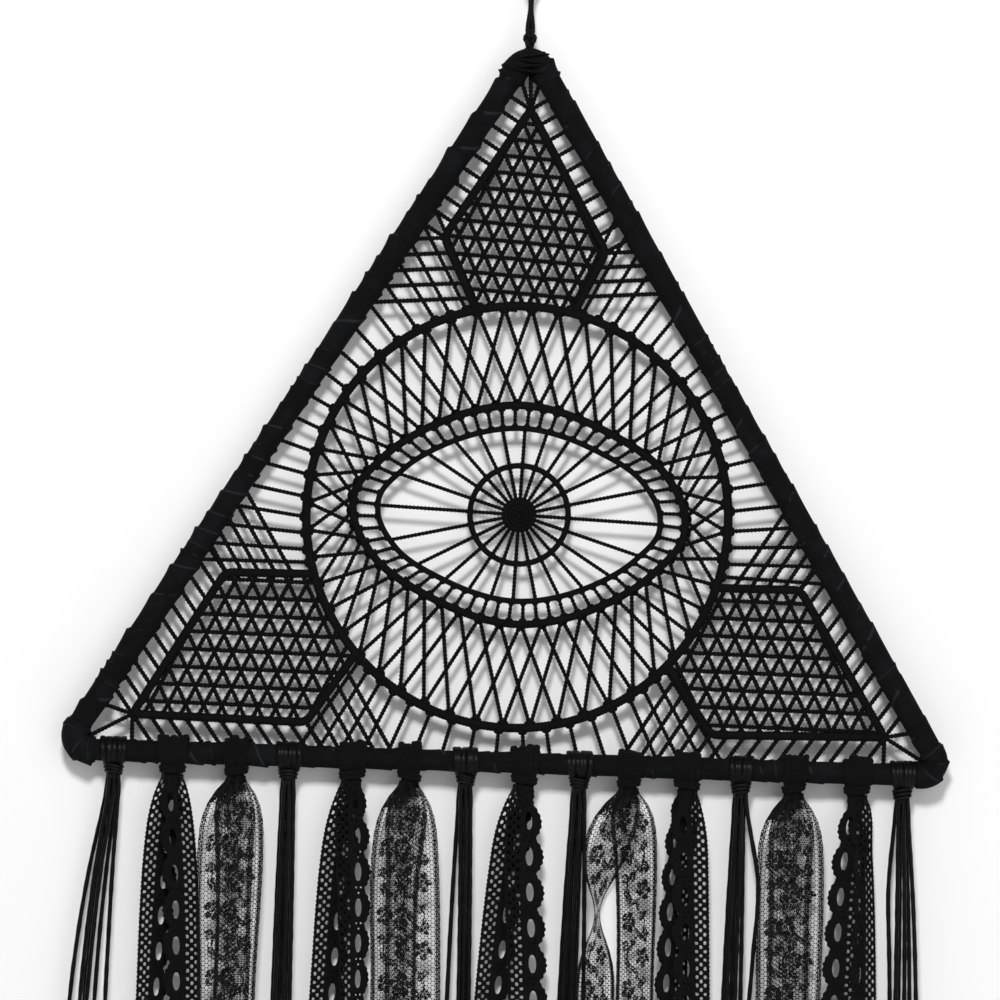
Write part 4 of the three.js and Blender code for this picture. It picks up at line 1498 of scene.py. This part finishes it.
@dataclass
class CordTassel(Tassel):
    """Three waxed cords, doubled over the bar into six strands."""

    # Where each strand hangs at the foot of its fan, from the knot's middle.
    hang: tuple[float, ...] = (-3.6, -2.1, -0.6, 0.9, 2.4, 3.9)
    bow: tuple[float, ...] = (0.0,) * 6  # how far each swings out on its way down
    strand_radius: float = 0.92
    strand_pitch: float = 0.95  # between two strands in the collar
    step: float = 2.0

    def route(self, number: int, draw: np.random.Generator) -> Array:
        """A strand's path: out of the collar, fanning out, then hanging plumb."""
        start = (number - (len(self.hang) - 1) / 2) * self.strand_pitch
        fan, bow = self.hang[number], self.bow[number]
        depth = 1.5 * (-1) ** number
        wander = draw.uniform(-0.9, 0.9, 5)
        down = np.array([-self.rise, 2.0, 12.0, 32.0, 62.0, 100.0, 165.0, 235.0, 300.0, self.drop])
        across = np.array([
            start * 0.8, start, start + (fan - start) * 0.12 + bow * 0.35,
            start + (fan - start) * 0.42 + bow, start + (fan - start) * 0.75 + bow * 0.6, fan,
            fan + wander[0] * 0.8, fan + wander[1], fan + wander[2] * 1.4, fan + wander[3] * 1.8,
        ])
        deep = np.array([depth * 0.5, depth * 0.7, depth, depth + wander[4], depth * 0.8, depth,
                         depth + wander[1], depth, depth - wander[2], depth])
        return np.stack([self.x + across, deep, self.top - down], axis=1)

    def build(self) -> None:
        """Makes the knot and the six strands."""
        self.build_knot()
        draw = np.random.default_rng(40 + self.number)
        cord = Thread(self.strand_radius, lay=16.0, plies=2, groove=0.1, sides=8, step=self.step)
        for number in range(len(self.hang)):
            path = through(self.route(number, draw), self.step)
            ring = cord.ring(path) * (1 + 0.05 * np.sin(travelled(path) / 3.1))[:, None, None]
            surface = Surface()
            surface.sweep(path, ring)
            strand = surface.build(f"{self.name}_strand_{number + 1}")
            place(strand, WAXED, self.name, f"{self.name}_tails")
            2 * cord.radius * MM


@dataclass(frozen=True)
class CrochetCut:
    """The outline and the holes of the crochet trim."""

    width: float = 16.5
    period: float = 14.3
    cell: float = 0.55
    half_thickness: float = 0.7
    rounding: float = 0.75  # how far in from an edge it reaches its full thickness

    def inside(self, u: Array, v: Array) -> Array:
        """How far inside the cotton a point is, and below zero in the holes.

        It is the least of the distances to the two edges and to every hole, where a hole
        is an ellipse that repeats down the trim.
        """
        swing = np.abs(np.cos(np.pi * v / self.period)) ** 0.85
        frill = 0.3 * np.cos(TAU * v / 2.4)
        least = np.minimum(u + 0.18 * np.sin(TAU * v / 1.8), 12.6 + 3.2 * swing + frill - u)
        holes = [(1.8, 0.0, 0.75, 0.85, 3.4), (3.6, 1.7, 0.75, 0.85, 3.4), (5.4, 0.0, 0.75, 0.85, 3.4)]
        half = self.period / 2
        holes.append((10.1, 0.0, 1.5, 3.7, self.period))
        for across, down in ((-1.1, -0.9), (1.1, -0.9), (0.0, 1.3), (-2.4, 1.2)):
            holes.append((10.2 + across, half + down, 0.4, 0.5, self.period))
        for across, start, wide, tall, period in holes:
            down = (v - start + period / 2) % period - period / 2
            far = np.sqrt(((u - across) / wide) ** 2 + (down / tall) ** 2)
            least = np.minimum(least, (far - 1) * min(wide, tall))
        return least


@dataclass(frozen=True)
class LaceCut:
    """The outline of the lace ribbon, with small picots along both edges."""

    width: float = 25.0
    cell: float = 1.25
    half_thickness: float = 0.14
    rounding: float = 0.9

    def inside(self, u: Array, v: Array) -> Array:
        """How far inside the ribbon a point is: the distance to the nearer edge."""
        return np.minimum(u, self.width - u) + 0.12 * np.sin(TAU * v / 5.0) - 0.05


@dataclass(frozen=True)
class Tail:
    """How one half of a trim hangs.

    "path" gives its middle, from the knot's, at the end of the gathers, half way down what
    is seen first, and at its foot. "turn" is how far it is turned from facing front.
    """

    path: tuple[float, float, float]
    turn: float
    depth: float
    flipped: bool = False
    twist: float = 0.0  # how far it turns over, in degrees, round the height of "twist_at"
    twist_at: float = 40.0
    shift: float = 0.0  # where its pattern starts


@dataclass
class TrimTassel(Tassel):
    """A length of trim folded over the bar, its two tails hanging side by side."""

    cut: CrochetCut | LaceCut = CrochetCut()
    tails: tuple[Tail, ...] = ()
    gather: float = 27.0  # how far down the gathers open out
    pleats: float = 2.5
    fullness: float = 1.0  # how wide it hangs, as a share of its flat width
    halfway: float = 88.0  # how far down the middle point of a tail's path lies
    twist_reach: float = 17.0

    def strip(self, tail: Tail, seed: int) -> tuple[Surface, float]:
        """One tail, cut from a fine grid.

        Grid points just outside the cut's edge are drawn onto it, along the gradient of
        its distance, and cells wholly outside are dropped. The front and back faces stand
        apart by the square root of the distance in from the edge, and meet at it.

        Args:
            tail: How it hangs.
            seed: For its small waves.

        Returns:
            The tail, and the share of its rectangle that the cut leaves.
        """
        cut = self.cut
        across = np.arange(-1, int(round(cut.width / cut.cell)) + 2) * cut.cell
        down = np.arange(0, int(round(self.drop / cut.cell)) + 1) * cut.cell
        u, v = np.meshgrid(across, down, indexing="ij")
        distance = cut.inside(u, v + tail.shift)
        within = distance > 0
        near, reach = 0.02, cut.cell * 0.6
        for _ in range(2):
            before, after = cut.inside(u - near, v + tail.shift), cut.inside(u + near, v + tail.shift)
            slope_u = (after - before) / (2 * near)
            before, after = cut.inside(u, v - near + tail.shift), cut.inside(u, v + near + tail.shift)
            slope_v = (after - before) / (2 * near)
            steep = np.maximum(slope_u**2 + slope_v**2, 0.2)
            pull = np.where(within, 0.0, cut.inside(u, v + tail.shift) / steep)
            u = u - np.clip(pull * slope_u, -reach, reach)
            v = np.clip(v - np.clip(pull * slope_v, -reach, reach), 0, down[-1])
        foot = np.minimum(v, self.drop - v)
        thick = np.where(within, np.clip(np.minimum(distance, foot + 0.05) / cut.rounding, 0, 1), 0.0)
        thick = cut.half_thickness * np.sqrt(thick)
        middle_points, facing = self.hang(u, v, tail, seed)
        cells = within[:-1, :-1] | within[1:, :-1] | within[1:, 1:] | within[:-1, 1:]
        share = float(cells.mean()) * (across[-1] - across[0]) / cut.width
        return self.two_faced(middle_points, facing, thick, cells, u, v), min(share, 1.0)

    def hang(self, u: Array, v: Array, tail: Tail, seed: int) -> tuple[Array, Array]:
        """Where the points of a tail hang, and which way they face.

        Its middle follows the tail's path; it is narrow and pleated under the knot and
        opens out to its own width; it turns by the tail's angle, with slow waves.
        """
        draw = np.random.default_rng(seed)
        width = self.cut.width
        side = (u - width / 2) * (-1 if tail.flipped else 1)
        opened = 1 - (1 - np.clip((v - 2) / self.gather, 0, 1)) ** 2.5
        closed = 2 * self.bunch.neck / width * 1.12
        narrow = closed + (self.fullness - closed) * opened
        heights = np.array([0.0, self.gather, self.halfway, self.drop])
        fine = through(np.stack([heights, [0.0, *tail.path]], axis=1), 2.0)
        centre = np.interp(v, fine[:, 0], fine[:, 1])
        turn = np.radians(tail.turn) * opened
        turn = turn + np.radians(tail.twist) * np.exp(-(((v - tail.twist_at) / self.twist_reach) ** 2))
        waves = draw.uniform(0, TAU, 3)
        turn = turn + 0.16 * opened * np.sin(v / 31.0 + waves[0])
        centre = centre + 0.7 * opened * np.sin(v / 47.0 + waves[1])
        curl = 0.6 * opened * np.cos(side / width * np.pi * 2 + waves[2] + v / 60.0)
        curl = curl + 2.4 * (1 - self.fullness) * opened * np.cos(side * 0.85 + waves[0] + v / 90.0)
        pleat = self.bunch.depth * 0.75 * (1 - opened) * np.cos(u / width * TAU * self.pleats)
        deep = tail.depth * np.clip(0.4 + opened, 0, 1) + side * np.sin(turn) * narrow * 0.85 + pleat + curl
        wide = self.x + centre + side * narrow * np.cos(turn)
        points = np.stack([wide, deep, self.top + self.rise - 0.5 - v], -1)
        facing = np.stack([-np.sin(turn) * 0.85, np.cos(turn), 0 * turn], -1)
        return points, unit(facing)

    def two_faced(
        self, points: Array, facing: Array, thick: Array, cells: Array, u: Array, v: Array
    ) -> Surface:
        """A closed sheet: a front and a back face that share the points of their edge.

        Args:
            points: Its middle surface, (n, m, 3).
            facing: Its unit normals.
            thick: Half its thickness at each point, zero on the edge.
            cells: Which cells of the grid are kept.
            u: Places across it.
            v: Places down it.

        Returns:
            The sheet.
        """
        rows, columns = thick.shape
        back = (points + facing * thick[..., None]).reshape(-1, 3)
        front = (points - facing * thick[..., None]).reshape(-1, 3)
        number = np.arange(rows * columns).reshape(rows, columns)
        inner = (thick > 0).ravel()
        twin = np.where(inner, len(front) + np.cumsum(inner) - 1, np.arange(len(front)))
        twin = twin.reshape(rows, columns)
        i, j = np.nonzero(cells)
        turn = ((i, j), (i + 1, j), (i + 1, j + 1), (i, j + 1))
        faces = np.stack([number[a, b] for a, b in turn], axis=1)
        behind = np.stack([twin[a, b] for a, b in reversed(turn)], axis=1)
        places = np.stack([np.stack([u[a, b], v[a, b]], -1) for a, b in turn], axis=1) / 10
        every = np.concatenate([faces, behind])
        used, renumbered = np.unique(every, return_inverse=True)
        surface = Surface()
        surface.points.append(np.concatenate([front, back[inner]])[used])
        surface.quads.append(renumbered.reshape(-1, 4))
        surface.quad_places.append(np.concatenate([places, places[:, ::-1]]))
        return surface

    def build(self) -> None:
        """Makes the knot and both tails."""
        knot = self.build_knot()
        for number, tail in enumerate(self.tails):
            surface, share = self.strip(tail, 7 * self.number + number)
            piece = surface.build(f"{self.name}_tail_{number + 1}")
            place(piece, FINISHES[self.kind], self.name, f"{self.name}_tails")
            width, length = self.cut.width * MM, self.drop * MM
            width * length * share


@dataclass
class Trim(TrimTassel):
    """A tassel of crochet trim."""

    def __init__(self, number: int, *tails: Tail) -> None:
        """Names the kind and the cut."""
        super().__init__(Kind.CROCHET, number, tails=tails)


@dataclass
class Lace(TrimTassel):
    """A tassel of lace ribbon, which hangs in soft pleats."""

    def __init__(self, number: int, *tails: Tail) -> None:
        """Names the kind and the cut."""
        super().__init__(Kind.LACE, number, cut=LaceCut(), tails=tails, gather=22.0, fullness=0.9)


def tassels() -> list[Tassel]:
    """The fifteen tassels, by kind, each with how it hangs."""
    cords = [
        CordTassel(Kind.CORDS, 1, hang=(-15.5, -11.0, -9.4, -8.2, -5.2, -0.5)),
        CordTassel(Kind.CORDS, 2, hang=(-3.6, -2.6, -1.0, 0.8, 2.2, 3.4)),
        CordTassel(Kind.CORDS, 3, hang=(-4.8, 0.2, 0.8, 1.9, 3.1, 4.2)),
        CordTassel(Kind.CORDS, 4, hang=(-5.4, -3.9, -2.4, -0.8, 1.0, 4.6)),
        CordTassel(Kind.CORDS, 5, hang=(-4.6, -3.4, -1.4, 0.2, 2.6, 4.8), bow=(0, 0, 0, 0, 0, 4.5)),
        CordTassel(Kind.CORDS, 6, hang=(-1.6, -0.2, 1.2, 3.6, 6.0, 8.6), bow=(-2.2, 0, 0, 0, 0, 0)),
    ]
    crochet = [
        Trim(1, Tail((-2.8, -6.0, -6.5), 38, 1.8), Tail((2.6, 5.6, 5.6), 30, -1.6, True, shift=3)),
        Trim(2, Tail((-3.6, -6.6, -6.4), 20, 1.6), Tail((1.8, 3.2, 3.4), 38, -1.8, shift=6)),
        Trim(3, Tail((-3.6, -9.6, -10.6), 18, 2.2, shift=5), Tail((0.4, 4.6, 5.2), 8, -2.0)),
        Trim(4, Tail((1.4, 3.6, 4.0), 12, -2.0, True), Tail((-2.2, -3.6, -4.4), 30, 2.0, True, shift=8)),
        Trim(5, Tail((-2.4, -4.2, -4.6), 24, -1.8, True, shift=2), Tail((3.0, 5.4, 5.6), 48, 1.8, True)),
    ]
    lace = [
        Lace(1, Tail((-2.8, -3.2, -3.2), 20, -1.6), Tail((1.4, 1.0, 0.6), -30, 1.8, shift=9)),
        Lace(2, Tail((-3.6, -3.2, -3.6), 28, 1.6), Tail((2.0, 3.6, 4.0), -12, -1.8, shift=12)),
        Lace(3, Tail((-7.0, -10.8, -10.2), 34, -1.2, twist=47, twist_at=50), Tail((2.4, 5.0, 6.0), -40, 1.4)),
        Lace(4, Tail((-2.4, -3.0, -3.0), 10, -1.8), Tail((2.0, 3.4, 3.6), -22, 1.8, shift=15)),
    ]
    return [*cords, *crochet, *lace]


# ---------------------------------------------------------------- room


@dataclass
class Studio:
    """The camera, the lights, the wall that it hangs on and the floor."""

    view_width: float = 0.4
    distance: float = 2.2
    centre: tuple[float, float] = (-0.0062, -0.2201)
    roll: float = 1.8
    wall: float = 0.0115
    floor_drop: float = 0.25
    half_width: float = 4.0
    height: float = 4.0
    half_depth: float = 8.0
    backdrop_light: float = 0.25  # how strongly the open backdrop lights the scene
    backdrop_look: float = 0.8  # how bright it looks to the camera

    def build_camera(self) -> None:
        """Makes the camera, level and square to the wall but for a slight roll."""
        data = bpy.data.cameras.new("camera")
        data.sensor_width = 36.0
        data.lens = data.sensor_width * self.distance / self.view_width
        data.clip_start = 0.05
        data.clip_end = 60.0
        camera = bpy.data.objects.new("camera", data)
        angle = np.radians(self.roll)
        cos, sin = float(np.cos(angle)), float(np.sin(angle))
        turn = Matrix(((cos, -sin, 0.0), (0.0, 0.0, -1.0), (sin, cos, 0.0)))
        place_at = Vector((self.centre[0], -self.distance, self.centre[1]))
        camera.matrix_world = Matrix.Translation(place_at) @ turn.to_4x4()
        bpy.context.scene.collection.objects.link(camera)
        bpy.context.scene.camera = camera

    def pale(self, name: str, grey: float, one_sided: bool) -> bpy.types.Material:
        """A pale matt paint, seen from its front only where it is one-sided."""
        paint = Paint(name)
        mottle = paint.noise(paint.place("Object", (1, 1, 1)), 3.0)
        colour = paint.mix(mottle, shade(grey * 0.985), shade(grey))
        material = paint.close(Base_Color=colour, Roughness=0.9, Specular_IOR_Level=0.1)
        if not one_sided:
            return material
        shader = next(n for n in paint.tree.nodes if n.type == "BSDF_PRINCIPLED")
        output = next(n for n in paint.tree.nodes if n.type == "OUTPUT_MATERIAL")
        behind = paint.node("ShaderNodeNewGeometry", out="Backfacing")
        clear = paint.node("ShaderNodeBsdfTransparent")
        seen = paint.node("ShaderNodeMixShader", {0: behind, 1: Value(paint, shader.outputs[0]), 2: clear})
        paint.tree.links.new(seen.socket, output.inputs["Surface"])
        return material

    def build_sheet(
        self, name: str, corners: list[tuple[float, float, float]], material: bpy.types.Material
    ) -> None:
        """Makes one flat face of the room.

        Args:
            name: Its name.
            corners: Its corners, in metres.
            material: Its paint.
        """
        mesh = bpy.data.meshes.new(name)
        mesh.from_pydata(corners, [], [tuple(range(len(corners)))])
        mesh.materials.append(material)
        sheet = bpy.data.objects.new(name, mesh)
        bpy.context.scene.collection.objects.link(sheet)

    def build_light(self, name: str, at: tuple[float, float, float], size: float, power: float) -> None:
        """Makes a square area light aimed at the web's middle."""
        data = bpy.data.lights.new(name, "AREA")
        data.shape = "SQUARE"
        data.size = size
        data.energy = power
        light = bpy.data.objects.new(name, data)
        aim = Vector((0.0, 0.0, self.centre[1])) - Vector(at)
        light.matrix_world = Matrix.Translation(at) @ aim.to_track_quat("-Z", "Y").to_matrix().to_4x4()
        bpy.context.scene.collection.objects.link(light)

    def build(self) -> None:
        """Makes the room."""
        self.build_camera()
        floor = CAD_BOX[0][2] - self.floor_drop
        wide, high, deep = self.half_width, self.height, self.half_depth
        self.build_sheet(
            "floor",
            [(-wide, -deep, floor), (wide, -deep, floor), (wide, deep, floor), (-wide, deep, floor)],
            self.pale("floor_paint", 0.8, False),
        )
        corners = [(-wide, floor), (wide, floor), (wide, high), (-wide, high)]
        self.build_sheet(
            "wall", [(x, self.wall, z) for x, z in corners], self.pale("wall_paint", 0.94, True)
        )
        world = bpy.data.worlds.new("room")
        world.use_nodes = True
        world.node_tree.nodes["Background"].inputs["Color"].default_value = (1.0, 1.0, 1.0, 1.0)
        # The backdrop looks pale where the wall doesn't cover it, and lights less than it looks.
        seen = world.node_tree.nodes.new("ShaderNodeLightPath")
        strength = world.node_tree.nodes.new("ShaderNodeMath")
        strength.operation = "MULTIPLY_ADD"
        strength.inputs[1].default_value = self.backdrop_look - self.backdrop_light
        strength.inputs[2].default_value = self.backdrop_light
        backdrop = world.node_tree.nodes["Background"]
        world.node_tree.links.new(seen.outputs["Is Camera Ray"], strength.inputs[0])
        world.node_tree.links.new(strength.outputs[0], backdrop.inputs["Strength"])
        bpy.context.scene.world = world
        bpy.context.scene.view_settings.view_transform = "Standard"
        self.build_light("key", (-0.1, -1.7, 0.66), 0.3, 25.0)
        self.build_light("fill", (0.8, -1.9, 0.0), 1.4, 7.0)


def main() -> None:
    """Builds every sub-assembly in order."""
    logging.basicConfig(level=logging.INFO, format="%(name)s %(message)s")
    Studio().build()
    Hanger().build()
    everything = tassels()
    for tassel in everything:
        tassel.build()
        log.info("%s tied at %.1f mm", tassel.name, tassel.x)
    shape = WrappedFrame()
    shape.build()
    web = EyeWeb(shape)
    build_panels(web, web.build())


if __name__ == "__main__":
    main()
